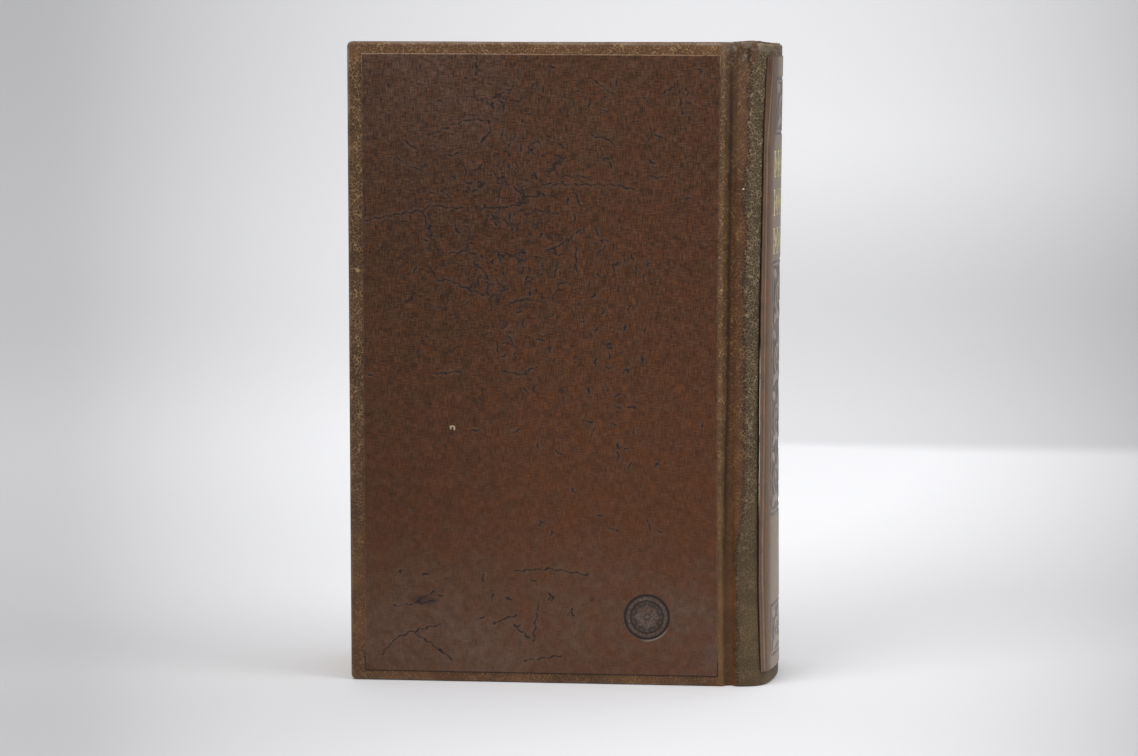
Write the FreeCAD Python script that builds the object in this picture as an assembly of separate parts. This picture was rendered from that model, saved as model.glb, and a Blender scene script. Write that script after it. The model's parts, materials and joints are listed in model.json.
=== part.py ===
import FreeCAD, Part
import math
import os

from FreeCAD import Vector

# Antique leather book standing on its tail edge. All sizes are in millimetres.
# +Z runs from the tail to the head, +X from the fore edge to the spine, and the back cover faces -Y.
# The origin is the middle of the footprint, on the surface that the book stands on.
# The two covers swing on the joint grooves beside the spine. The leaves and the spine stay together.

# Overall size
book_height = 240.0
book_width = 160.5  # fore edge of the covers to the crown of the spine panel
book_thickness = 60.0  # over the raised panels of both covers

# Covers
leather_thickness = 0.9
panel_thickness = 0.4  # the smooth panels stand this far proud of the grained leather
board_thickness = 2.6
board_easing = 0.2  # the least round on a board's edge
cover_corner_radius = 2.0  # fore-edge corners, seen square on
cover_outer_rounding = 1.3
cover_inner_rounding = 0.8
turn_in_width = 16.0  # leather folded over the inside of the board
turn_in_thickness = 0.6
pastedown_thickness = 0.2
pastedown_margin = 4.0  # leather left bare round the pastedown
mull_flap_thickness = 0.4
mull_flap_width = 28.0
mull_end_margin = 15.0

# Smooth panel on each cover
panel_fore_margin = 5.4
panel_head_margin = 4.3
panel_tail_margin = 3.6
panel_joint_margin = 4.0  # from the hinge line
panel_edge_rounding = 0.15

# Round blind stamp near the tail of the back panel
stamp_radius = 8.6
stamp_depth = 0.2
stamp_joint_offset = 31.8  # hinge line to the centre of the stamp
stamp_height = 25.9
stamp_ring_radius = 6.5
stamp_ring_width = 0.4
stamp_bead_count = 24
stamp_bead_radius = 0.42
stamp_petal_count = 8
stamp_petal_inner_radius = 1.3
stamp_petal_length = 4.3
stamp_petal_width = 2.0
stamp_boss_radius = 0.8

# Joint groove between each cover and the spine
hinge_setback = 17.7  # crown of the spine to the hinge line
groove_radius = 2.2
groove_centre_drop = 0.6  # below the face of the panel
ridge_radius = 2.0  # ridge between the groove and the round of the spine
hinge_gap = 0.3  # between the leather of the cover and of the spine, at the bottom of the groove
hinge_axis_drop = 0.2  # the cover turns about a line this far below the face of its panel

# Round of the spine: a flat arc over the crown, and a smaller one that turns down to each joint
crown_radius = 85.0
turn_radius = 10.0
turn_drop = 0.6  # the turned-down sides lie this far inside the faces of the covers
stiffener_thickness = 0.8
hollow_gap = 1.0  # between the stiffener and the back of the leaves, at the crown
spine_turn_in_length = 15.0
cap_outer_rounding = 1.0
cap_inner_rounding = 0.5

# Smooth panel on the spine
spine_panel_half_width = 29.0  # measured round the spine
spine_panel_head_margin = 5.6
spine_panel_tail_margin = 5.2
tooling_depth = 0.2
rule_offset = 25.0  # measured round the spine
rule_spacing = 1.3
rule_width = 0.45
rule_depth = 0.12

# Tooled fields and gilt rows on the spine panel
field_half_width = 17.6
field_frame_inset = 1.0
field_frame_width = 0.6
head_field_margin = 7.4  # below the head of the panel
head_field_height = 22.0
tail_field_margin = 4.3  # above the tail of the panel
tail_field_height = 20.5
plain_height = 33.0  # left bare between the tail field and the long one
long_field_space = 2.2  # between the long field and the lowest gilt row
long_field_ovals = 4
line_width = 0.7
gilt_space = 5.4  # between the head field and the highest gilt row
gilt_row_space = 4.5
gilt_row_height = 9.8
gilt_bars = 7
gilt_bar_pitch = 6.2
gilt_bar_width = 0.9
gilt_overlap = 0.1  # the lozenges run into the bars on each side, so that a row is one piece
gilt_sink = 0.05
gilt_proud = 0.04
past_cut = 1.0  # a cutting shape runs this far past what it cuts

# Leaves and their linings
square = 3.0  # the covers overhang the leaves by this much at head, tail and fore edge
closing_gap = 0.3  # between a shut cover and the leaves
flyleaf_thickness = 0.25
mull_thickness = 0.3
liner_thickness = 0.2
glue_film = 0.05  # between the back of the leaves and what is glued to it
leaves_round_radius = 46.0
shoulder_clearance = 0.3  # between the shoulder of the leaves and the leather folded into the spine
shoulder_rise = 1.25  # the shoulder flares this far out from the side of the leaves
head_band_radius = 1.1
head_band_tab_length = 10.0
head_band_tab_thickness = 0.4
head_band_side_margin = 3.0  # from the shoulder of the leaves, measured round their back
lining_side_margin = 1.5

# Places that follow from the sizes above
half_width = book_width / 2
half_thickness = book_thickness / 2
leather_face = half_thickness - panel_thickness
board_face = leather_face - leather_thickness
board_back = board_face - board_thickness
turn_in_back = board_back - turn_in_thickness
pastedown_back = turn_in_back - pastedown_thickness
flyleaf_face = pastedown_back - closing_gap
leaves_face = flyleaf_face - flyleaf_thickness
leaves_tail = square
leaves_head = book_height - square

hinge_x = half_width - hinge_setback
hinge_y = half_thickness - hinge_axis_drop
groove_centre = Vector(hinge_x, half_thickness - groove_centre_drop, 0)

turn_face = half_thickness - turn_drop
turn_start = math.asin((turn_face - turn_radius) / (crown_radius - turn_radius))
crown_half_arc = crown_radius * turn_start
crown_centre = Vector(half_width - crown_radius, 0, 0)

# Heights of the tooling, from the head of the spine panel down and from its tail up
spine_panel_head = book_height - spine_panel_head_margin
head_field_top = spine_panel_head - head_field_margin
head_field = (head_field_top - head_field_height, head_field_top)
gilt_pitch = gilt_row_height + gilt_row_space
highest_gilt = head_field[0] - gilt_space - gilt_row_height / 2
gilt_rows = {
    name: highest_gilt - gilt_pitch * number for number, name in enumerate(("upper", "middle", "lower"))
}
tail_field_bottom = spine_panel_tail_margin + tail_field_margin
tail_field = (tail_field_bottom, tail_field_bottom + tail_field_height)
long_field = (tail_field[1] + plain_height, gilt_rows["lower"] - gilt_row_height / 2 - long_field_space)

# Depths below the smooth panel of the spine
stiffener_top = panel_thickness + leather_thickness
stiffener_bottom = stiffener_top + stiffener_thickness
fold_bottom = stiffener_bottom + turn_in_thickness

lining_depth = glue_film + mull_thickness + liner_thickness
leaves_crown = half_width - stiffener_bottom - hollow_gap - lining_depth
leaves_centre = Vector(leaves_crown - leaves_round_radius, 0, 0)
glue_radius = leaves_round_radius + glue_film
mull_radius = glue_radius + mull_thickness
liner_radius = mull_radius + liner_thickness


def angle_of(vector):
    return math.degrees(math.atan2(vector.y, vector.x))


def polar(centre, radius, angle):
    return centre + Vector(math.cos(math.radians(angle)), math.sin(math.radians(angle)), 0) * radius


def arc(centre, radius, start, end):
    middle = (start + end) / 2
    points = [polar(centre, radius, angle) for angle in (start, middle, end)]
    return Part.Arc(*points).toShape()


def line(start, end):
    return Part.makeLine(start, end)


def loop_face(edges):
    return Part.Face(Part.Wire(Part.__sortEdges__(edges)))


def polygon_face(points):
    return Part.Face(Part.makePolygon([*points, points[0]]))


def upright(face, bottom, top):
    raised = face.copy()
    raised.translate(Vector(0, 0, bottom))
    return raised.extrude(Vector(0, 0, top - bottom))


def box(x_range, y_range, z_range):
    low = Vector(x_range[0], y_range[0], z_range[0])
    return Part.makeBox(x_range[1] - x_range[0], y_range[1] - y_range[0], z_range[1] - z_range[0], low)


def fused(shapes):
    return shapes[0].multiFuse(shapes[1:]).removeSplitter() if len(shapes) > 1 else shapes[0]


def turn_centre(side):
    return crown_centre + Vector(math.cos(turn_start), side * math.sin(turn_start), 0) * (
        crown_radius - turn_radius
    )


def touching(centre, radius, other_radius, other_height):
    """Centre on the +X side, at a given height, of a circle that touches the first one."""
    drop = centre.y - other_height
    return Vector(centre.x + math.sqrt((radius + other_radius) ** 2 - drop**2), other_height, 0)


# Each side of the groove runs tangent into a small round, at the edge of the cover and at the ridge of the spine
ridge_centre = touching(
    groove_centre, groove_radius, ridge_radius, turn_face - panel_thickness - ridge_radius
)
cover_edge_height = leather_face - cover_outer_rounding
cover_edge_reach = touching(groove_centre, groove_radius, cover_outer_rounding, cover_edge_height).x - hinge_x
cover_edge_centre = Vector(hinge_x - cover_edge_reach, cover_edge_height, 0)
board_spine_edge = cover_edge_centre.x


def joint_strip(side):
    """Section of the leather from the bottom of the groove to the cover (side -1) or to the spine (+1)."""
    second_centre, second_radius = (
        (cover_edge_centre, cover_outer_rounding) if side < 0 else (ridge_centre, ridge_radius)
    )
    far_angle = angle_of(second_centre - groove_centre) % 360
    second_start = far_angle - 180
    top = 90.0
    inner_radius = groove_radius + leather_thickness
    outer_start, inner_start = [
        270 + side * math.degrees(math.asin(hinge_gap / 2 / radius)) for radius in (groove_radius, inner_radius)
    ]
    second_inner = second_radius - leather_thickness
    edges = [
        arc(groove_centre, groove_radius, outer_start, far_angle),
        arc(second_centre, second_radius, second_start, top),
        line(polar(second_centre, second_radius, top), polar(second_centre, second_inner, top)),
        arc(second_centre, second_inner, top, second_start),
        arc(groove_centre, inner_radius, far_angle, inner_start),
        line(
            polar(groove_centre, inner_radius, inner_start), polar(groove_centre, groove_radius, outer_start)
        ),
    ]
    return loop_face(edges)


def cover_slab(fore, inner, outer, tail, head, corner, outer_rounding, inner_rounding):
    """Slab of a cover with round fore corners and eased rims, square on its spine side."""
    joint = board_spine_edge
    diagonal = corner * (1 - math.sqrt(0.5))
    tail_arc = Part.Arc(
        Vector(fore + corner, inner, tail),
        Vector(fore + diagonal, inner, tail + diagonal),
        Vector(fore, inner, tail + corner),
    ).toShape()
    head_arc = Part.Arc(
        Vector(fore, inner, head - corner),
        Vector(fore + diagonal, inner, head - diagonal),
        Vector(fore + corner, inner, head),
    ).toShape()
    outline = [
        line(Vector(joint, inner, tail), Vector(fore + corner, inner, tail)),
        tail_arc,
        line(Vector(fore, inner, tail + corner), Vector(fore, inner, head - corner)),
        head_arc,
        line(Vector(fore + corner, inner, head), Vector(joint, inner, head)),
        line(Vector(joint, inner, head), Vector(joint, inner, tail)),
    ]
    slab = loop_face(outline).extrude(Vector(0, outer - inner, 0))
    for level, rounding in ((outer, outer_rounding), (inner, inner_rounding)):
        rim = [edge for edge in slab.Edges if lies_on_rim(edge, level, joint)]
        slab = slab.makeFillet(rounding, rim)
    return slab


def lies_on_rim(edge, level, joint):
    bounds = edge.BoundBox
    on_level = abs(bounds.YMin - level) < 1e-4 and abs(bounds.YMax - level) < 1e-4
    return on_level and bounds.XMin < joint - 1e-3


def board():
    return cover_slab(
        fore=-half_width + leather_thickness,
        inner=board_back,
        outer=board_face,
        tail=leather_thickness,
        head=book_height - leather_thickness,
        corner=max(cover_corner_radius - leather_thickness, board_easing),
        outer_rounding=max(cover_outer_rounding - leather_thickness, board_easing),
        inner_rounding=board_easing,
    )


def cover_leather():
    wrap = cover_slab(
        fore=-half_width,
        inner=turn_in_back,
        outer=leather_face,
        tail=0,
        head=book_height,
        corner=cover_corner_radius,
        outer_rounding=cover_outer_rounding,
        inner_rounding=cover_inner_rounding,
    )
    # The leather is folded over three edges, and the middle of the board stays bare
    window = box(
        (-half_width + turn_in_width, board_spine_edge + past_cut),
        (turn_in_back - past_cut, board_back),
        (turn_in_width, book_height - turn_in_width),
    )
    groove = upright(joint_strip(-1), 0, book_height)
    return fused([wrap.cut(board()).cut(window), groove])


def mull_flap():
    return box(
        (board_spine_edge - mull_flap_width, board_spine_edge),
        (board_back - mull_flap_thickness, board_back),
        (turn_in_width + mull_end_margin, book_height - turn_in_width - mull_end_margin),
    )


def pastedown():
    """The paper glued inside the cover. It fills the window between the turn-ins and laps over them."""
    sheet = box(
        (-half_width + pastedown_margin, board_spine_edge),
        (pastedown_back, board_back),
        (pastedown_margin, book_height - pastedown_margin),
    )
    return sheet.cut(cover_leather()).cut(mull_flap()).cut(board())


def cover_panel():
    panel = box(
        (-half_width + panel_fore_margin, hinge_x - panel_joint_margin),
        (leather_face, half_thickness),
        (panel_tail_margin, book_height - panel_head_margin),
    )
    rim = [edge for edge in panel.Edges if abs(edge.BoundBox.YMin - half_thickness) < 1e-4]
    return panel.makeFillet(panel_edge_rounding, rim)


def leaf_shape(length, width):
    """Pointed oval standing on the origin along +Z, in the XZ plane."""
    tip = Vector(0, 0, length)
    sides = [
        Part.Arc(Vector(0, 0, 0), Vector(side * width / 2, 0, length / 2), tip).toShape() for side in (1, -1)
    ]
    return loop_face(sides)


def stamped(panel):
    """The back panel with its round stamp: a sunk disc that holds a ring, beads and a rosette."""
    centre = Vector(hinge_x - stamp_joint_offset, 0, stamp_height)
    floor = half_thickness - stamp_depth
    lift = Vector(0, stamp_depth, 0)
    along_y = Vector(0, 1, 0)
    base = Vector(centre.x, floor, centre.z)
    sunk = Part.makeCylinder(stamp_radius, stamp_depth + past_cut, base, along_y)
    raised = [
        Part.makeCylinder(stamp_ring_radius, stamp_depth, base, along_y).cut(
            Part.makeCylinder(stamp_ring_radius - stamp_ring_width, stamp_depth, base, along_y)
        ),
        Part.makeCylinder(stamp_boss_radius, stamp_depth, base, along_y),
    ]
    bead_circle = (stamp_radius + stamp_ring_radius) / 2
    for number in range(stamp_bead_count):
        turn = 2 * math.pi * number / stamp_bead_count
        place = base + Vector(math.cos(turn), 0, math.sin(turn)) * bead_circle
        raised.append(Part.makeCylinder(stamp_bead_radius, stamp_depth, place, along_y))
    for number in range(stamp_petal_count):
        petal = leaf_shape(stamp_petal_length, stamp_petal_width)
        petal.translate(Vector(centre.x, floor, centre.z + stamp_petal_inner_radius))
        petal.rotate(base, along_y, 360 * number / stamp_petal_count)
        raised.append(petal.extrude(lift))
    return fused([panel.cut(sunk), *raised])


def on_round(position, depth):
    """Centre, radius and angle of the spine at a place measured round it, some way below its panel."""
    if abs(position) <= crown_half_arc:
        return crown_centre, crown_radius - depth, math.degrees(position / crown_radius)
    side = math.copysign(1, position)
    beyond = (abs(position) - crown_half_arc) / turn_radius
    return turn_centre(side), turn_radius - depth, side * math.degrees(turn_start + beyond)


def round_edges(start, end, depth):
    """Arcs that follow the round between two places."""
    stops = [start, *[stop for stop in (-crown_half_arc, crown_half_arc) if start < stop < end], end]
    edges = []
    for near, far in zip(stops, stops[1:]):
        centre, radius, _ = on_round((near + far) / 2, depth)
        angles = []
        for place in (near, far):
            from_crown = min(max(place, -crown_half_arc), crown_half_arc)
            turned_on = (place - from_crown) / turn_radius
            angles.append(math.degrees(from_crown / crown_radius + turned_on))
        edges.append(arc(centre, radius, *angles))
    return edges


def round_strip(start, end, shallow, deep, bottom, top):
    """Upright wall that follows the round of the spine between two places and two depths."""
    ends = [line(polar(*on_round(place, shallow)), polar(*on_round(place, deep))) for place in (start, end)]
    outline = [*round_edges(start, end, shallow), *round_edges(start, end, deep), *ends]
    return upright(loop_face(outline), bottom, top)


def turned(section, centre, start, end):
    """Solid swept round an upright axis by a section drawn on its +X side."""
    axis = Vector(0, 0, 1)
    face = section.copy()
    face.rotate(centre, axis, start)
    return face.revolve(centre, axis, end - start)


def cap_section(axis, radius):
    """Section through the upper half of the spine leather, with its fold over the head of the stiffener."""
    head = book_height

    def place(depth, height):
        return axis + Vector(radius - depth, 0, height)

    slant = 1 - math.sqrt(0.5)
    face = panel_thickness
    fold_end = head - leather_thickness - spine_turn_in_length
    outer_round = Part.Arc(
        place(face, head - cap_outer_rounding),
        place(face + cap_outer_rounding * slant, head - cap_outer_rounding * slant),
        place(face + cap_outer_rounding, head),
    ).toShape()
    inner_round = Part.Arc(
        place(fold_bottom - cap_inner_rounding, head),
        place(fold_bottom - cap_inner_rounding * slant, head - cap_inner_rounding * slant),
        place(fold_bottom, head - cap_inner_rounding),
    ).toShape()
    corners = [
        place(fold_bottom, head - cap_inner_rounding),
        place(fold_bottom, fold_end),
        place(stiffener_bottom, fold_end),
        place(stiffener_bottom, head - leather_thickness),
        place(stiffener_top, head - leather_thickness),
        place(stiffener_top, book_height / 2),
        place(face, book_height / 2),
        place(face, head - cap_outer_rounding),
    ]
    edges = [line(start, end) for start, end in zip(corners, corners[1:])]
    top = line(place(face + cap_outer_rounding, head), place(fold_bottom - cap_inner_rounding, head))
    return loop_face([*edges, outer_round, top, inner_round])


def spine_leather():
    crown_angle = math.degrees(turn_start)
    pieces = [turned(cap_section(crown_centre, crown_radius), crown_centre, -crown_angle, crown_angle)]
    for side in (1, -1):
        centre = turn_centre(side)
        section = cap_section(centre, turn_radius)
        pieces.append(turned(section, centre, *sorted((side * crown_angle, side * 90.0))))
        section.rotate(centre, Vector(0, 0, 1), side * 90)
        pieces.append(section.extrude(Vector(ridge_centre.x - centre.x, 0, 0)))
    pieces += [upside_down(piece) for piece in pieces]
    strip = upright(joint_strip(1), 0, book_height)
    return fused([*pieces, strip, mirrored(strip)])


def spine_stiffener():
    bottom = leather_thickness
    top = book_height - leather_thickness
    to_turn_end = crown_half_arc + turn_radius * (math.pi / 2 - turn_start)
    pieces = [round_strip(-to_turn_end, to_turn_end, stiffener_top, stiffener_bottom, bottom, top)]
    x_range = (ridge_centre.x, turn_centre(1).x)
    side = box(x_range, (turn_face - stiffener_bottom, turn_face - stiffener_top), (bottom, top))
    return fused([*pieces, side, mirrored(side)])


ornament_start = half_width - turn_radius


def facing_spine(y_range, z_range):
    """Prism that runs through the spine panel along X."""
    return box((ornament_start, half_width + past_cut), y_range, z_range)


def lozenge(width, height, middle_y, middle_z):
    corners = [
        Vector(ornament_start, middle_y - width / 2, middle_z),
        Vector(ornament_start, middle_y, middle_z - height / 2),
        Vector(ornament_start, middle_y + width / 2, middle_z),
        Vector(ornament_start, middle_y, middle_z + height / 2),
    ]
    return polygon_face(corners).extrude(Vector(turn_radius + past_cut, 0, 0))


def pointed_oval(width, height, middle_y, middle_z):
    bottom = Vector(ornament_start, middle_y, middle_z - height / 2)
    top = Vector(ornament_start, middle_y, middle_z + height / 2)
    sides = [
        Part.Arc(bottom, Vector(ornament_start, middle_y + side * width / 2, middle_z), top).toShape()
        for side in (1, -1)
    ]
    return loop_face(sides).extrude(Vector(turn_radius + past_cut, 0, 0))


def outlined(shape_maker, width, height, middle_y, middle_z):
    """Shape with its middle taken out, so that a line of even width is left."""
    outer = shape_maker(width, height, middle_y, middle_z)
    slope = math.hypot(width, height) / min(width, height)
    inner = shape_maker(
        width - 2 * line_width * slope * width / height if width > height else width - 2 * line_width,
        height - 2 * line_width * height / width if height > width else height - 2 * line_width,
        middle_y,
        middle_z,
    )
    return outer.cut(inner)


def field_frame(z_range):
    outer = facing_spine(
        (-field_half_width + field_frame_inset, field_half_width - field_frame_inset),
        (z_range[0] + field_frame_inset, z_range[1] - field_frame_inset),
    )
    inset = field_frame_inset + field_frame_width
    inner = facing_spine(
        (-field_half_width + inset, field_half_width - inset), (z_range[0] + inset, z_range[1] - inset)
    )
    return outer.cut(inner)


def short_field_figures(z_range):
    """A large outlined lozenge with a small one inside it, and a pointed oval on each side."""
    middle = sum(z_range) / 2
    tall = z_range[1] - z_range[0] - 4 * field_frame_inset
    slim, wide, heart = 0.2, 0.62, 0.34
    figures = [
        outlined(lozenge, tall * wide, tall, 0, middle),
        lozenge(tall * slim, tall * heart, 0, middle),
    ]
    for side in (1, -1):
        figures.append(pointed_oval(tall * slim, tall * wide, side * field_half_width * wide, middle))
    return figures


def long_field_figures(z_range):
    """A column of outlined pointed ovals with lozenges inside and between them."""
    inset = 2 * field_frame_inset + field_frame_width
    bottom = z_range[0] + inset
    pitch = (z_range[1] - z_range[0] - 2 * inset) / long_field_ovals
    width = 2 * (field_half_width - inset)
    oval, heart, corner = 0.86, 0.23, 0.12
    figures = []
    for number in range(long_field_ovals):
        middle = bottom + pitch * (number + 0.5)
        figures.append(outlined(pointed_oval, width * oval, pitch * 0.96, 0, middle))
        figures.append(lozenge(width * heart, pitch / 2, 0, middle))
        if number:
            for side in (1, -1):
                place = side * width * (1 - 2 * corner) / 2
                figures.append(lozenge(width * corner, pitch * 0.3, place, middle - pitch / 2))
    return figures


def gilt_prisms(middle):
    """A row of upright bars with lozenges between them."""
    first = -(gilt_bars - 1) / 2
    z_range = (middle - gilt_row_height / 2, middle + gilt_row_height / 2)
    lozenge_width = gilt_bar_pitch - gilt_bar_width + 2 * gilt_overlap
    prisms = []
    for number in range(gilt_bars):
        y = (first + number) * gilt_bar_pitch
        prisms.append(facing_spine((y - gilt_bar_width / 2, y + gilt_bar_width / 2), z_range))
    for number in range(gilt_bars - 1):
        y = (first + number + 0.5) * gilt_bar_pitch
        prisms.append(lozenge(lozenge_width, gilt_row_height * 0.6, y, middle))
    return fused(prisms)


def gilt_row(middle):
    return gilt_prisms(middle).common(crown_layer(-gilt_proud, gilt_sink))


def crown_layer(shallow, deep):
    """The part of the crown between two depths, as wide as its flat arc."""
    return round_strip(-crown_half_arc, crown_half_arc, shallow, deep, 0, book_height)


def spine_panel():
    bottom = spine_panel_tail_margin
    top = spine_panel_head
    edge = spine_panel_half_width
    panel = round_strip(-edge, edge, 0, panel_thickness, bottom, top)
    sunk = []
    raised = []
    fields = (
        (head_field, short_field_figures),
        (long_field, long_field_figures),
        (tail_field, short_field_figures),
    )
    for z_range, figures in fields:
        sunk.append(facing_spine((-field_half_width, field_half_width), z_range))
        raised += [field_frame(z_range), *figures(z_range)]
    panel = panel.cut(Part.makeCompound(sunk).common(crown_layer(-past_cut, tooling_depth)))
    for number in range(2):
        near = rule_offset + number * rule_spacing
        for start, end in ((near, near + rule_width), (-near - rule_width, -near)):
            panel = panel.cut(
                round_strip(start, end, -past_cut, rule_depth, bottom - past_cut, top + past_cut)
            )
    for middle in gilt_rows.values():
        panel = panel.cut(gilt_prisms(middle).common(crown_layer(-past_cut, gilt_sink)))
    ornament = crown_layer(0, tooling_depth)
    return fused([panel, *[figure.common(ornament) for figure in raised]])


def shoulder_tip():
    """Where the back of the leaves meets the underside of the shoulder, clear of the folded leather."""
    reach = turn_radius - fold_bottom - shoulder_clearance
    across = turn_centre(1) - leaves_centre
    along = (across.Length**2 + leaves_round_radius**2 - reach**2) / (2 * across.Length)
    aside = math.sqrt(leaves_round_radius**2 - along**2)
    highest = (across.y * along + across.x * aside) / across.Length
    height = min(leaves_face + shoulder_rise, highest)
    return Vector(leaves_centre.x + math.sqrt(leaves_round_radius**2 - height**2), height, 0)


def text_block():
    """All the leaves as one solid, with a round back, backed shoulders and a hollow fore edge."""
    tip = shoulder_tip()
    tip_angle = angle_of(tip - leaves_centre)
    shoulder_foot = Vector(tip.x - shoulder_rise, leaves_face, 0)
    fore_corner = Vector(-half_width + square, leaves_face, 0)
    hollow = leaves_round_radius - math.sqrt(leaves_round_radius**2 - leaves_face**2)
    fore_middle = Vector(fore_corner.x + hollow, 0, 0)

    def flipped(point):
        return Vector(point.x, -point.y, point.z)

    edges = [
        arc(leaves_centre, leaves_round_radius, -tip_angle, tip_angle),
        line(tip, shoulder_foot),
        line(shoulder_foot, fore_corner),
        Part.Arc(fore_corner, fore_middle, flipped(fore_corner)).toShape(),
        line(flipped(fore_corner), flipped(shoulder_foot)),
        line(flipped(shoulder_foot), flipped(tip)),
    ]
    return upright(loop_face(edges), leaves_tail, leaves_head)


def flyleaf():
    return box(
        (-half_width + square, shoulder_tip().x - shoulder_rise),
        (leaves_face, flyleaf_face),
        (leaves_tail, leaves_head),
    )


def back_lining(inner_radius, outer_radius, side_margin, bottom, top):
    """Upright wall glued round the back of the leaves."""
    half_angle = angle_of(shoulder_tip() - leaves_centre) - math.degrees(side_margin / leaves_round_radius)
    edges = [
        arc(leaves_centre, outer_radius, -half_angle, half_angle),
        line(polar(leaves_centre, outer_radius, half_angle), polar(leaves_centre, inner_radius, half_angle)),
        arc(leaves_centre, inner_radius, half_angle, -half_angle),
        line(polar(leaves_centre, inner_radius, -half_angle), polar(leaves_centre, outer_radius, -half_angle)),
    ]
    return upright(loop_face(edges), bottom, top)


def glued_between_bands(inner_radius, outer_radius):
    bottom = leaves_tail + head_band_tab_length
    top = leaves_head - head_band_tab_length
    return back_lining(inner_radius, outer_radius, lining_side_margin, bottom, top)


def head_band():
    """Silk roll that sits on the head of the leaves, with its tab glued to their back."""
    roll_middle = leaves_head + head_band_radius
    outer_radius = glue_radius + head_band_tab_thickness
    tab = back_lining(
        glue_radius,
        outer_radius,
        head_band_side_margin,
        leaves_head - head_band_tab_length,
        roll_middle,
    )
    tip_angle = angle_of(shoulder_tip() - leaves_centre)
    half_angle = tip_angle - math.degrees(head_band_side_margin / leaves_round_radius)
    roll_place = leaves_centre + Vector(outer_radius - head_band_radius, 0, roll_middle)
    circle = Part.makeCircle(head_band_radius, roll_place, Vector(0, 1, 0))
    roll = turned(Part.Face(Part.Wire(circle)), leaves_centre, -half_angle, half_angle)
    return fused([tab, roll])


def mirrored(shape):
    """The same piece on the other side of the book."""
    return shape.mirror(Vector(0, 0, 0), Vector(0, 1, 0))


def upside_down(shape):
    """The same piece at the other end of the book."""
    return shape.mirror(Vector(0, 0, book_height / 2), Vector(0, 0, 1))


def all_parts():
    panel = cover_panel()
    band = head_band()
    return {
        "text_block": text_block(),
        "front_flyleaf": flyleaf(),
        "back_flyleaf": mirrored(flyleaf()),
        "spine_mull": glued_between_bands(glue_radius, mull_radius),
        "spine_liner": glued_between_bands(mull_radius, liner_radius),
        "head_band": band,
        "tail_band": upside_down(band),
        "spine_stiffener": spine_stiffener(),
        "spine_leather": spine_leather(),
        "spine_panel": spine_panel(),
        **{f"spine_gilt_{place}_row": gilt_row(middle) for place, middle in gilt_rows.items()},
        "front_board": board(),
        "front_leather": cover_leather(),
        "front_panel": panel,
        "front_mull_flap": mull_flap(),
        "front_pastedown": pastedown(),
        "back_board": mirrored(board()),
        "back_leather": mirrored(cover_leather()),
        "back_panel": mirrored(stamped(panel)),
        "back_mull_flap": mirrored(mull_flap()),
        "back_pastedown": mirrored(pastedown()),
    }


os.makedirs("parts", exist_ok=True)
for name, shape in all_parts().items():
    shape.exportStep(f"parts/{name}.step")
    print(name, len(shape.Solids), "solids", round(shape.Volume / 1000, 3), "cm3", shape.isValid())
print("hinge line at x", round(hinge_x, 3), "and y", round(hinge_y, 3))
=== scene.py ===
import json
import math

import bmesh
import bpy
import numpy as np
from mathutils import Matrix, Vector, noise


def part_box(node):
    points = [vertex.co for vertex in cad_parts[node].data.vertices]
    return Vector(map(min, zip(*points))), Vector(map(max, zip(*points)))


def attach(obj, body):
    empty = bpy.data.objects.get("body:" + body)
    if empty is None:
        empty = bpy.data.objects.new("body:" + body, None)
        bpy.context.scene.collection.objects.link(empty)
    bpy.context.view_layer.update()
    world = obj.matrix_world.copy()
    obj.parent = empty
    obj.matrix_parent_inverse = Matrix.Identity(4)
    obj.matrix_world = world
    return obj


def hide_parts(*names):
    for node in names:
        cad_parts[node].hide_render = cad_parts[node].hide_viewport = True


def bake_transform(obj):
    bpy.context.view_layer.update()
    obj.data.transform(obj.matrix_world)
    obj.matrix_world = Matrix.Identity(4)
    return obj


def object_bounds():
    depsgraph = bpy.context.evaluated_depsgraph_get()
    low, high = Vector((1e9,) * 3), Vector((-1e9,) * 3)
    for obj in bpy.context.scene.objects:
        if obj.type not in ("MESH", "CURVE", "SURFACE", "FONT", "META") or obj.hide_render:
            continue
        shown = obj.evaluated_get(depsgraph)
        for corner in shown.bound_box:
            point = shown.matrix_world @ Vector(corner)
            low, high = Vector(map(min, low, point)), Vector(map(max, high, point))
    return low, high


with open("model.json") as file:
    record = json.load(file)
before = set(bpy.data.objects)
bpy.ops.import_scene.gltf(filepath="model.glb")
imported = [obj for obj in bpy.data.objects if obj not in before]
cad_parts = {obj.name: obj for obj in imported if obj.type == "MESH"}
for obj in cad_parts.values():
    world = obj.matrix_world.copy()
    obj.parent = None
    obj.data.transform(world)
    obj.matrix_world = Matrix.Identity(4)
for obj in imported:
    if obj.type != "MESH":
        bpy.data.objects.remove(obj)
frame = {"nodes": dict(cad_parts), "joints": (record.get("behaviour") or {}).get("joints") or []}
cadBounds = [list(corner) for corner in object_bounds()]
scene = bpy.context.scene
mm = 0.001
# without a seed, Blender's vector noise isn't the same in each run
noise.seed_set(7)


# places that come from the frame

bookHead = cadBounds[1][2]
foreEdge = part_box("back_leather")[0][0]
leatherFace = -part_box("back_leather")[0][1]
panelFace = -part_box("back_panel")[0][1]
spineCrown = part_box("spine_panel")[1][0]
leavesFace = -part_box("back_flyleaf")[1][1]
hingeX = next(j for j in frame["joints"] if j["name"] == "back_cover_hinge")["pos_m"][0]

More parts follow.
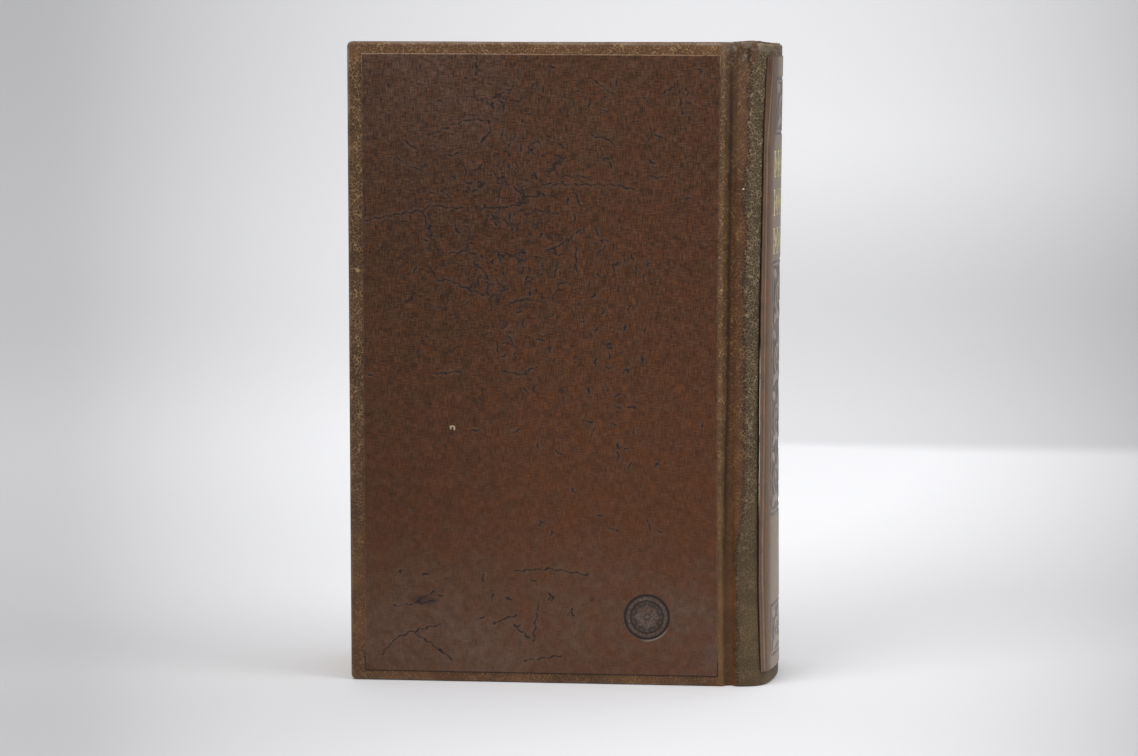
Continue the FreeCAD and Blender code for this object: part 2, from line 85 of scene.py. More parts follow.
# the section through spine, groove and cover edge, seen from above
binding = {
    "crownRadius": 85 * mm,
    "turnRadius": 10 * mm,
    "turnDrop": 0.6 * mm,
    "ridgeRadius": 2 * mm,
    "grooveRadius": 2.2 * mm,
    "grooveDrop": 0.6 * mm,
    "coverEdgeRadius": 1.3 * mm,
    "coverInnerRadius": 0.8 * mm,
    "coverCorner": 2 * mm,
    "flatFrom": 50 * mm,
    "coverDepth": 4.1 * mm,
    "spineDepth": 2.3 * mm,
    "jointDepth": 1.2 * mm,
    "turnIn": 16 * mm,
    "bow": 0.8 * mm,
    "headSlope": 0.5 * mm,
    "frontDrop": 0.6 * mm,
    "capDrop": 1.3 * mm,
    "crumple": 0.35 * mm,
}
panelThickness = panelFace - leatherFace
turnFace = panelFace - binding["turnDrop"]
turnStart = math.asin(
    (turnFace - binding["turnRadius"]) / (binding["crownRadius"] - binding["turnRadius"])
)
crownHalfArc = binding["crownRadius"] * turnStart
crownCentre = np.array([spineCrown - binding["crownRadius"], 0.0])
turnCentre = crownCentre + (binding["crownRadius"] - binding["turnRadius"]) * np.array(
    [math.cos(turnStart), math.sin(turnStart)]
)


# mesh helpers


def smoothStep(low, high, value):
    t = np.clip((np.asarray(value, float) - low) / (high - low), 0, 1)
    return t * t * (3 - 2 * t)


def wobble(x, y, z=0.0):
    return noise.noise(Vector((x, y, z)))


def newSheets():
    return {"points": [], "faces": [], "uvs": [], "slots": [], "marks": [], "count": 0}


def asPoints(*parts):
    # the parts may each have only rows or only columns
    return np.stack(np.broadcast_arrays(*parts), axis=-1)


def addGrid(sheets, points, uvs, away, slot=0, **marks):
    # away is a point behind the sheet, so its faces look the other way. marks are values at each point
    points = np.asarray(points, float)
    rows, columns = points.shape[:2]
    index = np.arange(rows * columns).reshape(rows, columns)
    quads = asPoints(index[:-1, :-1], index[1:, :-1], index[1:, 1:], index[:-1, 1:]).reshape(-1, 4)
    flat = points.reshape(-1, 3)
    corners = flat[quads]
    normal = np.cross(corners[:, 2] - corners[:, 0], corners[:, 3] - corners[:, 1])
    if np.sum(normal * (corners.mean(axis=1) - np.asarray(away))) < 0:
        quads = quads[:, ::-1]
    sheets["points"].append(flat)
    sheets["faces"].append(quads + sheets["count"])
    sheets["uvs"].append(np.asarray(uvs, float).reshape(-1, 2))
    sheets["slots"].append(np.full(len(quads), slot))
    sheets["marks"].append({key: np.asarray(value, float).ravel() for key, value in marks.items()})
    sheets["count"] += len(flat)


def buildPiece(sheets, name, materials, sharp=40, shape=None):
    points = np.concatenate(sheets["points"])
    faces = np.concatenate(sheets["faces"])
    mesh = bpy.data.meshes.new(name)
    mesh.from_pydata((shape(points) if shape else points).tolist(), [], faces.tolist())
    mapLayer = mesh.uv_layers.new(name="realSize")
    mapLayer.data.foreach_set("uv", np.concatenate(sheets["uvs"])[faces.ravel()].ravel())
    mesh.polygons.foreach_set("material_index", np.concatenate(sheets["slots"]).astype(np.int32))
    for key in sorted({key for marks in sheets["marks"] for key in marks}):
        values = [
            marks.get(key, np.zeros(len(part))) for marks, part in zip(sheets["marks"], sheets["points"])
        ]
        layer = mesh.attributes.new(key, "FLOAT", "POINT")
        layer.data.foreach_set("value", np.concatenate(values).astype(np.float32))
    work = bmesh.new()
    work.from_mesh(mesh)
    bmesh.ops.remove_doubles(work, verts=work.verts, dist=0.004 * mm)
    bmesh.ops.dissolve_degenerate(work, edges=work.edges, dist=0.001 * mm)
    work.to_mesh(mesh)
    work.free()
    mesh.polygons.foreach_set("use_smooth", np.ones(len(mesh.polygons), bool))
    mesh.set_sharp_from_angle(angle=math.radians(sharp))
    for material in materials:
        mesh.materials.append(material)
    piece = bpy.data.objects.new(name, mesh)
    scene.collection.objects.link(piece)
    return piece


def settle(points):
    # the small unevenness of age: the joint side bows in at mid-height and the board's head slopes
    points = points.copy()
    x, y, z = points.T
    rise = np.clip(z / bookHead, 0, 1)
    sag = np.sin(math.pi * np.clip(1 - rise, 0, 1)) * smoothStep(46 * mm, 62 * mm, x)
    slope = smoothStep(-70 * mm, 50 * mm, x) * (1 - smoothStep(57 * mm, 69 * mm, x))
    cap = smoothStep(68 * mm, 79 * mm, x) * smoothStep(bookHead - 5 * mm, bookHead, z)
    # the front cover's head lies a little lower, all along
    front = smoothStep(8 * mm, 20 * mm, y) * (1 - smoothStep(57 * mm, 69 * mm, x))
    drop = np.maximum(binding["headSlope"] * slope, binding["frontDrop"] * front)
    points[:, 0] = x - binding["bow"] * sag
    points[:, 2] = z - drop * smoothStep(0.5, 1.0, rise) - binding["capDrop"] * cap
    return points


def crumpled(points):
    # the settled shape, with the leather of the joint's head pushed about by handling
    points = settle(points)
    near = smoothStep(bookHead - 14 * mm, bookHead - 1 * mm, points[:, 2])
    near *= smoothStep(57 * mm, 64 * mm, points[:, 0]) * (1 - smoothStep(76 * mm, 80 * mm, points[:, 0]))
    for number in np.nonzero(near > 0.01)[0]:
        x, y, z = points[number]
        push = noise.noise_vector(Vector((x * 320, y * 320, z * 260)))
        amount = near[number] * binding["crumple"]
        points[number] += np.array([push.x, push.y, min(push.z, 0.0)]) * amount * 2
    return points


# shader helpers


class Signal:
    # a value or colour that changes over a surface. Sums and products of it become Math nodes
    def __init__(self, socket):
        self.socket = socket

    def __add__(self, other):
        return calc("ADD", self, other)

    def __sub__(self, other):
        return calc("SUBTRACT", self, other)

    def __rsub__(self, other):
        return calc("SUBTRACT", other, self)

    def __mul__(self, other):
        return calc("MULTIPLY", self, other)

    def __truediv__(self, other):
        return calc("DIVIDE", self, other)

    def __rtruediv__(self, other):
        return calc("DIVIDE", other, self)

    def __abs__(self):
        return calc("ABSOLUTE", self)

    __radd__ = __add__
    __rmul__ = __mul__


def addNode(tree, kind, **settings):
    made = tree.nodes.new(kind)
    for key, value in settings.items():
        setattr(made, key, value)
    return made


def join(source, target):
    if isinstance(source, Signal):
        target.id_data.links.new(source.socket, target)
    else:
        target.default_value = source


def feed(kind, values, output=0, **settings):
    # a node in the tree of its first changing value. values are by input, and output is the one wanted
    tree = next(value.socket.id_data for value in values.values() if isinstance(value, Signal))
    made = addNode(tree, kind, **settings)
    for key, value in values.items():
        join(value, made.inputs[key])
    return Signal(made.outputs[output])


def calc(operation, *values):
    return feed("ShaderNodeMath", dict(enumerate(values)), operation=operation)


def greatest(first, *others):
    for other in others:
        first = calc("MAXIMUM", first, other)
    return first


def least(first, second):
    return calc("MINIMUM", first, second)


def spread(value, low, high, outLow=0.0, outHigh=1.0):
    # goes smoothly from outLow to outHigh while the value goes from low to high
    values = dict(enumerate((value, low, high, outLow, outHigh)))
    return feed("ShaderNodeMapRange", values, interpolation_type="SMOOTHSTEP")


def tint(factor, first, second, blend="MIX"):
    values = {0: factor, 6: first, 7: second}
    return feed("ShaderNodeMix", values, 2, data_type="RGBA", blend_type=blend, clamp_factor=True)


def stretch(vector, scale, shift=(0.0, 0.0, 0.0), turn=0.0):
    values = {"Vector": vector, "Scale": scale, "Location": shift, "Rotation": (0.0, 0.0, turn)}
    return feed("ShaderNodeMapping", values)


def grainNoise(vector, scale, detail=2.0, roughness=0.5, distortion=0.0, output="Fac"):
    values = {
        "Vector": vector,
        "Scale": scale,
        "Detail": detail,
        "Roughness": roughness,
        "Distortion": distortion,
    }
    return feed("ShaderNodeTexNoise", values, output)


def cells(vector, scale):
    return feed(
        "ShaderNodeTexVoronoi", {"Vector": vector, "Scale": scale}, "Distance", feature="DISTANCE_TO_EDGE"
    )


def shifted(vector, push, amount):
    centred = feed("ShaderNodeVectorMath", {0: push, 1: (0.5, 0.5, 0.5)}, operation="SUBTRACT")
    scaled = feed("ShaderNodeVectorMath", {0: centred, "Scale": amount}, operation="SCALE")
    return feed("ShaderNodeVectorMath", {0: vector, 1: scaled}, operation="ADD")


def newGroup(name, inputs, outputs):
    group = bpy.data.node_groups.new(name, "ShaderNodeTree")
    for label, kind, value in inputs:
        socket = group.interface.new_socket(label, in_out="INPUT", socket_type=kind)
        if value is not None:
            socket.default_value = value
    for label, kind in outputs:
        group.interface.new_socket(label, in_out="OUTPUT", socket_type=kind)
    given = {socket.name: Signal(socket) for socket in group.nodes.new("NodeGroupInput").outputs}
    return group, given, group.nodes.new("NodeGroupOutput").inputs


def useGroup(group, Place, **values):
    made = addNode(Place.socket.id_data, "ShaderNodeGroup", node_tree=group)
    for key, value in {"Place": Place, **values}.items():
        join(value, made.inputs[key])
    return {socket.name: Signal(socket) for socket in made.outputs}


def colour(red, green, blue):
    # a colour as a picture shows it, 0 to 255, turned into the shader's own scale
    return tuple(
        (c / 255 / 12.92 if c < 10.3 else ((c / 255 + 0.055) / 1.055) ** 2.4) for c in (red, green, blue)
    ) + (1.0,)


def newMaterial(name):
    material = bpy.data.materials.new(name)
    material.use_nodes = True
    shader = material.node_tree.nodes["Principled BSDF"]
    place = addNode(material.node_tree, "ShaderNodeUVMap", uv_map="realSize")
    return material, shader, stretch(Signal(place.outputs[0]), (1000.0, 1000.0, 1000.0))


def objectMillimetres(shader):
    place = addNode(shader.id_data, "ShaderNodeTexCoord")
    return stretch(Signal(place.outputs["Object"]), (1000.0, 1000.0, 1000.0))


def finishSurface(shader, base, rough, height, depth, specular=0.4):
    join(base, shader.inputs["Base Color"])
    join(rough, shader.inputs["Roughness"])
    shader.inputs["Specular IOR Level"].default_value = specular
    join(
        feed("ShaderNodeBump", {"Strength": 1.0, "Distance": depth, "Height": height}),
        shader.inputs["Normal"],
    )


def axes(vector):
    made = addNode(vector.socket.id_data, "ShaderNodeSeparateXYZ")
    join(vector, made.inputs[0])
    return [Signal(socket) for socket in made.outputs]


def readMark(shader, name):
    return Signal(addNode(shader.id_data, "ShaderNodeAttribute", attribute_name=name).outputs["Fac"])


def spot(across, upward, centre, size, soft=0.5):
    # an oval mark, 1 inside and 0 outside
    sideways = (across - centre[0]) / size[0]
    upwards = (upward - centre[1]) / size[1]
    return spread(sideways * sideways + upwards * upwards, 1.0 + soft, 1.0 - soft)


def shade(base, factor):
    grey = feed("ShaderNodeCombineColor", {0: factor, 1: factor, 2: factor})
    return tint(1.0, base, grey, "MULTIPLY")


# shared effects


def makeGoatGrain():
    group, given, out = newGroup(
        "goatGrain",
        [("Place", "NodeSocketVector", None), ("Cell", "NodeSocketFloat", 1.3)],
        [("Veins", "NodeSocketFloat"), ("Height", "NodeSocketFloat")],
    )
    perCell = 1 / given["Cell"]
    warp = grainNoise(given["Place"], perCell * 0.7, output="Color")
    place = shifted(given["Place"], warp, given["Cell"] * 1.1)
    large = cells(place, perCell)
    small = cells(place, perCell * 2.1)
    uneven = grainNoise(given["Place"], perCell * 0.35, 3)
    wide = spread(uneven, 0.35, 0.68, 0.06, 0.135)
    main = spread(large, 0, wide, 1, 0)
    fine = spread(small, 0, 0.1, 0.4, 0)
    veins = greatest(main, fine * uneven)
    join(veins, out["Veins"])
    join(spread(large, 0, 0.45) * -0.35 + veins * 0.65, out["Height"])
    return group


def makeDarkCreases():
    group, given, out = newGroup(
        "darkCreases",
        [
            ("Place", "NodeSocketVector", None),
            ("Density", "NodeSocketFloat", 0.5),
            ("Size", "NodeSocketFloat", 12),
        ],
        [("Creases", "NodeSocketFloat"), ("Threads", "NodeSocketFloat")],
    )
    perSize = 1 / given["Size"]
    warp = grainNoise(given["Place"], perSize * 2.6, 3, 0.6, output="Color")
    place = shifted(given["Place"], warp, given["Size"] * 0.35)
    lines = []
    for scale, share, lineWidth, gateScale, need in (
        ((0.62, 1.15, 1), 1, 0.022, 0.9, 0.02),
        ((1.2, 0.55, 1), 0.85, 0.018, 1.3, 0.05),
        ((1.7, 2.4, 1), 0.8, 0.03, 2.1, 0),
    ):
        along = stretch(place, scale, (share * 17, share * 31, 3))
        wave = grainNoise(along, perSize, 1.5, 0.4)
        ridge = abs(wave - 0.5)
        line = spread(ridge, 0, lineWidth, share, 0)
        gateNoise = grainNoise(stretch(place, (1, 1, 1), (share * 91, 7, 0)), perSize * gateScale, 3, 0.6)
        level = 0.74 + need - given["Density"] * 0.26
        gate = spread(gateNoise - level, 0, 0.06)
        lines.append(line * gate)
    nicks = []
    for scale, turn in (((0.5, 3.6, 1), 0.12), ((3.4, 0.55, 1), -0.06)):
        scratch = grainNoise(stretch(place, scale, turn=turn), 0.9, 1)
        nicks.append(spread(scratch + given["Density"] * 0.055, 0.735, 0.8))
    join(greatest(*lines, greatest(*nicks) * 0.8), out["Creases"])
    weft = grainNoise(stretch(given["Place"], (0.35, 3.4, 1)), 1, 2)
    warpThread = grainNoise(stretch(given["Place"], (3.2, 0.3, 1)), 1, 2)
    join((weft + warpThread) * 0.5, out["Threads"])
    return group


def makeMottle():
    group, given, out = newGroup(
        "mottle",
        [("Place", "NodeSocketVector", None), ("Size", "NodeSocketFloat", 20)],
        [("Patches", "NodeSocketFloat"), ("Specks", "NodeSocketFloat")],
    )
    perSize = 1 / given["Size"]
    patches = grainNoise(given["Place"], perSize, 5, 0.62, 0.4)
    join(spread(patches, 0.3, 0.7), out["Patches"])
    specks = grainNoise(given["Place"], perSize * 24, 2)
    join(spread(specks, 0.62, 0.78), out["Specks"])
    return group


goatGrain = makeGoatGrain()
darkCreases = makeDarkCreases()
mottle = makeMottle()


# materials

grainedLook = {
    "cell": 1.2,
    "cover": colour(84, 54, 31),
    "coverDark": colour(66, 42, 24),
    "band": colour(85, 52, 27),
    "edgeBand": colour(93, 67, 40),
    "grey": colour(93, 73, 57),
    "olive": colour(72, 56, 36),
    "groove": colour(46, 33, 20),
    "crease": colour(44, 28, 16),
    "vein": colour(146, 111, 73),
    "borderVein": colour(162, 129, 92),
    "oliveVein": colour(163, 144, 112),
    "wornAndHighlight": colour(152, 138, 122),
    "orange": colour(94, 58, 28),
    "liftedEdgeShadow": colour(22, 16, 10),
    "crumpleHighlight": colour(164, 150, 138),
    "speck": colour(214, 205, 190),
    "depth": 0.00026,
    "patchSize": 14,
    "broadSize": 45,
    "smallSize": 2.6,
    # the rest are places in mm: round from the middle of the spine, or up from the tail
    "oliveFrom": (32.9, 33.7, 36.6),  # where brown turns olive: head, most of the joint, tail
    "bandEnd": (45.4, 47),
    "coverFrom": (41, 42.2),
    "borderFrom": (41.4, 43),
    "grooveShadeFrom": (39.2, 40.5),
    "grooveShadeTo": (41.5, 40.8),
    "foreEdge": (178, 184),
    "capFrom": (232, 239),
    "tornAt": ((31.8, 237.5), (1.1, 6.5)),
    "creaseAt": ((33.6, 235.5), (0.5, 5)),
    "crumpleHighlightAt": ((37.5, 238), (7.5, 6)),
    "speckAt": ((35, 186), (0.32, 0.36)),
}


def makeGrainedLeather(name):
    material, shader, place = newMaterial(name)
    look = grainedLook
    grain = useGroup(goatGrain, Place=place, Cell=look["cell"])
    patch = useGroup(mottle, Place=place, Size=look["patchSize"])
    broad = useGroup(mottle, Place=place, Size=look["broadSize"])
    small = useGroup(mottle, Place=place, Size=look["smallSize"])
    across, upward, _ = axes(place)
    # across is measured round the binding, from the middle of the spine
    ragged = (patch["Patches"] - 0.5) * 1.6
    atHead, along, atTail = look["oliveFrom"]
    boundary = spread(upward, 40, 80, atTail, along) + spread(upward, 210, 232, 0, atHead - along)
    pastOlive = across + ragged - boundary
    oliveShare = spread(pastOlive, -0.5, 1, 1, 0)
    bandShare = spread(across, *look["bandEnd"], 1, 0)
    base = tint(broad["Patches"], look["coverDark"], look["cover"])
    base = tint(bandShare * 0.75, base, look["band"])
    besideGroove = spread(across, *look["coverFrom"]) * bandShare
    base = tint(besideGroove * 0.8, base, look["edgeBand"])
    base = tint(bandShare * spread(upward, 176, 228, 0, 0.5), base, look["grey"])
    base = tint(oliveShare, base, look["olive"])
    base = shade(base, spread(patch["Patches"], 0, 1, 0.82, 1.15))
    # the grain is worn smoother towards the tail of the joint
    smoothed = spread(upward, 130, 30) * spread(across, 48, 44, 0.75, 1)
    strength = spread(patch["Patches"], 0, 1, 0.7, 1) * (1 - smoothed * 0.72)
    # painted light: lighter towards the tail, and lighter along the head of the cover
    base = shade(base, spread(upward, 20, 110, 1.22, 1))
    base = shade(base, spread(upward, 228, 236) * spread(across, 44, 48, 0.1, 0.6) + 1)
    border = spread(across, *look["borderFrom"])
    plain = 1 - greatest(oliveShare, border)
    strength = strength * spread(plain, 0, 1, 1, 0.92)
    strength = strength + border * spread(upward, 40, 160, 0, 0.25)
    strength = strength * spread(across, *look["foreEdge"], 1, 0.7)
    veins = grain["Veins"] * least(strength, 1)
    veinColour = tint(oliveShare, tint(border, look["vein"], look["borderVein"]), look["oliveVein"])
    base = tint(veins * 0.95, base, veinColour)
    # painted shade lies in the groove, and a dark line follows where brown turns olive
    grooveAt = across - spread(upward, 130, 50, 0, 1.4) + ragged * 0.25
    dirtAndShade = spread(grooveAt, *look["grooveShadeFrom"]) * spread(grooveAt, *look["grooveShadeTo"])
    dirtAndShade = dirtAndShade * spread(upward, 30, 75, 0.3, 0.7) * spread(upward, 236, 215, 0.45, 1)
    base = tint(dirtAndShade, base, look["groove"])
    turned = spread(abs(pastOlive - 0.2), 1.3, 0.1) * spread(grain["Veins"], 0, 0.5, 0.75, 0.1)
    base = tint(turned, base, look["crease"])
    # painted shadow on the skin under the spine panel's lifted edge
    liftedEdgeShadow = spread(readMark(shader, "panelShadow"), 0.25, 0.85)
    base = tint(liftedEdgeShadow * 0.95, base, look["liftedEdgeShadow"])
    # handling has rubbed the rims, most of all towards the head; at the head of the joint pale patches of
    # painted highlight are added
    rim = readMark(shader, "rim")
    worn = spread(rim, 0.2, 0.95) * spread(patch["Patches"], 0.15, 0.9, 0.3, 1)
    worn = worn * spread(upward, 140, 234, 0.35, 1)
    cap = spread(upward, *look["capFrom"]) * spread(across, 46, 43)
    cap = cap * spread(patch["Patches"] + patch["Specks"], 0.35, 0.85)
    base = tint(greatest(worn * 0.62, cap * 0.6), base, look["wornAndHighlight"])
    looser = across + (small["Patches"] - 0.5) * 1.3 + ragged
    torn = spot(looser, upward, *look["tornAt"], 0.8)
    base = tint(torn * 0.85, base, look["orange"])
    besideTorn = spot(looser, upward, *look["creaseAt"], 0.8)
    base = tint(besideTorn * 0.7, base, look["crease"])
    # painted highlights on the crumpled leather there, in small pale patches
    crumpleHighlight = grainNoise(stretch(place, (1, 0.6, 1)), 0.8, 3, 0.65, 0.8)
    crumpleHighlight = spread(crumpleHighlight, 0.52, 0.66) * spot(across, upward, *look["crumpleHighlightAt"], 0.7)
    base = tint(crumpleHighlight * 0.6, base, look["crumpleHighlight"])
    base = tint(spot(across, upward, *look["speckAt"]), base, look["speck"])
    rough = 0.5 + grain["Veins"] * 0.14
    height = grain["Height"] * (1 - smoothed * 0.55)
    finishSurface(shader, base, rough, height, look["depth"], 0.25)
    return material


panelLook = {
    "red": colour(86, 47, 20),
    "brown": colour(74, 43, 18),
    "bloomAndSheen": colour(91, 68, 56),
    "streak": colour(112, 88, 76),
    "crease": colour(26, 23, 25),
    "ash": colour(98, 84, 75),
    "dirtAndShade": colour(34, 28, 26),
    "pale": colour(154, 128, 100),
    "wornAndHighlight": colour(150, 141, 132),
    "scrape": colour(168, 152, 126),
    "depth": 0.00014,
    "patchSize": 8,
    "broadSize": 42,
    "smallSize": 3.6,
    "creaseSize": 11,
    # on the back cover alone: a small scrape and a dirty place, in mm from the middle and from the tail
    "scrapeAt": (((-41.3, 96.9), (1, 0.3)), ((-40.5, 96.2), (0.35, 0.8)), ((-41.9, 96.4), (0.3, 0.7))),
    "dirtAt": ((-52, 31), (4.5, 2)),
}


def makeSmoothLeather(name, shift, densest, marked):
    # burnished leather with dried dark creases, thickest round one place
    material, shader, place = newMaterial(name)
    look = panelLook
    moved = stretch(place, (1, 1, 1), shift)
    across, upward, _ = axes(place)
    broad = useGroup(mottle, Place=moved, Size=look["broadSize"])
    patch = useGroup(mottle, Place=moved, Size=look["patchSize"])
    small = useGroup(mottle, Place=stretch(moved, (1, 1, 1), (31, 77, 0)), Size=look["smallSize"])
    sideways = across - densest[0]
    upwards = (upward - densest[1]) * 0.62
    toCentre = calc("SQRT", sideways * sideways + upwards * upwards)
    density = spread(toCentre, 12, 78, 1, 0.25)
    marks = useGroup(darkCreases, Place=moved, Density=density, Size=look["creaseSize"])
    base = tint(spread(patch["Patches"], 0, 1, 0.15, 0.85), look["brown"], look["red"])
    # painted light: darker towards the fore edge and towards the head
    base = shade(base, spread(across, -78, 10, 0.77, 1.02))
    base = shade(base, spread(upward, 40, 225, 1.04, 0.84))
    # a grey bloom with painted sheen, heavier at the head, at the fore edge's corner and along the tail
    headSheenBloom = spread(upward, 160, 238) * spread(across, 20, -60, 0.35, 1)
    tailSheenBloom = spread(upward, 70, 10, 0, 1.4) * spread(across, -75, -20, 0.75, 1)
    sheenBloom = greatest(headSheenBloom, tailSheenBloom) * spread(broad["Patches"], 0.1, 0.9, 0.4, 1)
    sheenBloom = sheenBloom * 0.66 + small["Patches"] * 0.22
    base = tint(sheenBloom * spread(patch["Patches"], 0, 1, 1, 0.6), base, look["bloomAndSheen"])
    # the threads stand out most in the upper half
    faint = spread(upward, 20, 160, 0.8, 0.46)
    strong = spread(upward, 20, 160, 1.2, 1.6)
    base = shade(base, spread(marks["Threads"], 0.36, 0.64, faint, strong))
    # dried streaks, some grey and some dark, lie along them
    upper = spread(upward, 60, 200, 0.1, 1)
    for scale, slide in (((0.3, 1.5, 1), (3, 0, 0)), ((1.5, 0.3, 1), (0, 5, 0))):
        streak = grainNoise(stretch(moved, scale, slide), 1, 3, 0.6, 0.2)
        base = tint(upper * spread(streak, 0.54, 0.7, 0, 0.24), base, look["streak"])
        base = shade(base, 1 - upper * spread(streak, 0.46, 0.32, 0, 0.34))
    base = shade(base, spread(small["Patches"], 0, 1, 0.93, 1.07))
    base = shade(base, spread(small["Specks"], 0, 1, 1, 0.62))
    # dark smears along and across the threads, where the leather has dried most
    smears = []
    for scale, slide in (((0.13, 0.8, 1), (5, 0, 0)), ((0.75, 0.17, 1), (0, 9, 0))):
        smear = grainNoise(stretch(moved, scale, slide), 1, 4, 0.62, 0.3)
        smears.append(spread(smear + density * 0.07, 0.64, 0.74))
    smeared = greatest(*smears) * spread(marks["Threads"], 0.42, 0.56, 1, 0.25)
    base = tint(smeared * 0.62, base, look["crease"])
    # the folds that stand out, drawn as lines on the piece
    offLine = abs(readMark(shader, "sideways"))
    nearness = readMark(shader, "nearness")
    crumbs = grainNoise(moved, 0.6, 5, 0.75)
    wide = spread(crumbs, 0.35, 0.65, 0.12, 0.62)
    folds = spread(offLine, wide, wide * 0.3) * spread(nearness, 1, 0.7)
    folds = folds * spread(crumbs, 0.4, 0.54, 0.12, 1)
    # painted highlight: a grey halo beside the folds
    highlightBeside = spread(nearness, 1.8, 0.4) * spread(crumbs, 0.4, 0.6, 0.1, 0.55)
    base = tint(highlightBeside, base, look["bloomAndSheen"])
    dark = greatest(marks["Creases"] * 0.8, folds)
    base = tint(dark * 0.88, base, look["crease"])
    # the stamp holds dirt in its hollows, and its raised parts are rubbed grey
    stampFace = readMark(shader, "stampFace")
    base = tint(stampFace * spread(small["Patches"], 0.2, 0.8, 0.45, 0.95), base, look["ash"])
    dots = spread(grainNoise(place, 1.5, 1), 0.5, 0.68)
    dirty = greatest(readMark(shader, "hollow"), stampFace * dots * 0.75)
    base = tint(dirty, base, look["dirtAndShade"])
    # a pale rubbed edge, strongest at the head and absent at the tail: wear with painted highlight
    edge = readMark(shader, "edge")
    wornAndHighlight = edge * spread(small["Patches"], 0.1, 0.6, 0.35, 0.75)
    wornAndHighlight = wornAndHighlight * spread(upward, 226, 235, 0.35, 1.3) * spread(upward, 8, 20)
    base = tint(wornAndHighlight, base, look["pale"])
    # painted highlight on the lower right of the stamp's lip
    base = tint(readMark(shader, "lip"), base, look["wornAndHighlight"])
    # painted shadow along the tail edge
    tailEdgeShadow = spread(edge, 0, 0.5) * spread(upward, 12, 7)
    base = tint(tailEdgeShadow * 0.8, base, look["crease"])
    if marked:
        for scrape in look["scrapeAt"]:
            base = tint(spot(across, upward, *scrape), base, look["scrape"])
        dirtAndShade = spot(across + small["Patches"], upward, *look["dirtAt"], 0.9)
        base = tint(dirtAndShade * 0.5, base, look["crease"])
    rough = spread(patch["Patches"], 0, 1, 0.46, 0.6) + dark * 0.2
    height = marks["Threads"] * 0.5 - dark * 1.1 + small["Patches"] * 0.5
    finishSurface(shader, base, rough, height, look["depth"], 0.22)
    return material


spineLook = {
    "side": colour(103, 77, 55),
    "orange": colour(90, 52, 26),
    "crown": colour(134, 118, 103),
    "hollow": colour(40, 35, 34),
    "field": colour(150, 138, 127),
    "ruleLight": colour(134, 110, 88),
    "depth": 0.0001,
    "patchSize": 9,
    "smallSize": 3,
    "creaseSize": 9,
    "creaseDensity": 0.35,
}


def makeSpineLeather(name):
    material, shader, place = newMaterial(name)
    look = spineLook
    across, upward, _ = axes(place)
    patch = useGroup(mottle, Place=place, Size=look["patchSize"])
    small = useGroup(mottle, Place=place, Size=look["smallSize"])
    marks = useGroup(darkCreases, Place=place, Density=look["creaseDensity"], Size=look["creaseSize"])
    fromCrown = abs(across)
    sideFrom = fromCrown + spread(upward, 192, 224, 0, 6)
    base = tint(spread(sideFrom, 17.5, 22.5), look["crown"], look["side"])
    # redder outside the rule, most of all at the head, where the turn has been rubbed
    outside = readMark(shader, "outside") * spread(upward, 204, 232, 0.08, 0.9)
    base = tint(outside, base, look["orange"])
    base = shade(base, 1 - spread(upward, 204, 230) * spread(fromCrown, 8, 16) * 0.12)
    base = tint(readMark(shader, "field") * 0.8, base, look["field"])
    base = tint(readMark(shader, "ridge") * 0.8, base, look["ruleLight"])
    base = shade(base, spread(patch["Patches"], 0, 1, 0.84, 1.12))
    base = shade(base, spread(marks["Threads"], 0.36, 0.64, 0.84, 1.16))
    sunk = readMark(shader, "tooling")
    dirtAndShade = spread(sunk, 0.15, 0.85) * spread(small["Patches"], 0, 1, 0.5, 0.85)
    base = tint(dirtAndShade, base, look["hollow"])
    base = tint(marks["Creases"] * 0.7, base, look["hollow"])
    rough = spread(patch["Patches"], 0, 1, 0.36, 0.5)
    height = marks["Threads"] * 0.3 - marks["Creases"] * 0.6
    finishSurface(shader, base, rough, height, look["depth"], 0.45)
    return material


def makeRawEdge(name):
    # the flesh side of the leather, pale where the spine panel has lifted most
    material, shader, place = newMaterial(name)
    upward = axes(place)[1]
    patch = useGroup(mottle, Place=place, Size=7)
    inRange = spread(upward, 62, 76) * spread(upward, 130, 118)
    lifted = inRange * spread(patch["Patches"], 0.1, 0.4, 0.3, 1)
    base = tint(greatest(lifted, patch["Specks"]), colour(62, 46, 34), colour(182, 170, 150))
    finishSurface(shader, base, 0.8, patch["Patches"], 0.0001, 0.2)
    return material


def makeGold(name):
    material, shader, place = newMaterial(name)
    patch = useGroup(mottle, Place=place, Size=3)
    worn = spread(patch["Patches"], 0.08, 0.3, 1, 0)
    base = tint(patch["Patches"], colour(206, 190, 130), colour(238, 230, 180))
    base = tint(worn * 0.8, base, spineLook["crown"])
    metal = 0.45 - worn * 0.4
    join(metal, shader.inputs["Metallic"])
    finishSurface(shader, base, 0.42, patch["Patches"], 0.00003, 0.5)
    return material


def makeLeaves(name):
    # cut edges of the leaves. The map's first axis runs through the thickness of the book
    material, shader, place = newMaterial(name)
    lines = grainNoise(stretch(place, (5.5, 0.004, 1)), 1, 2, 0.8)
    bundles = grainNoise(stretch(place, (0.55, 0.003, 1)), 1, 2)
    stain = useGroup(mottle, Place=place, Size=30)
    base = tint(spread(lines, 0.35, 0.65), colour(152, 128, 94), colour(218, 202, 168))
    base = tint(spread(bundles, 0.4, 0.62, 0, 0.4), base, colour(168, 140, 98))
    base = tint(stain["Patches"] * 0.3, base, colour(166, 138, 98))
    base = tint(stain["Specks"] * 0.4, base, colour(116, 86, 54))
    finishSurface(shader, base, 0.85, lines, 0.00012, 0.2)
    return material


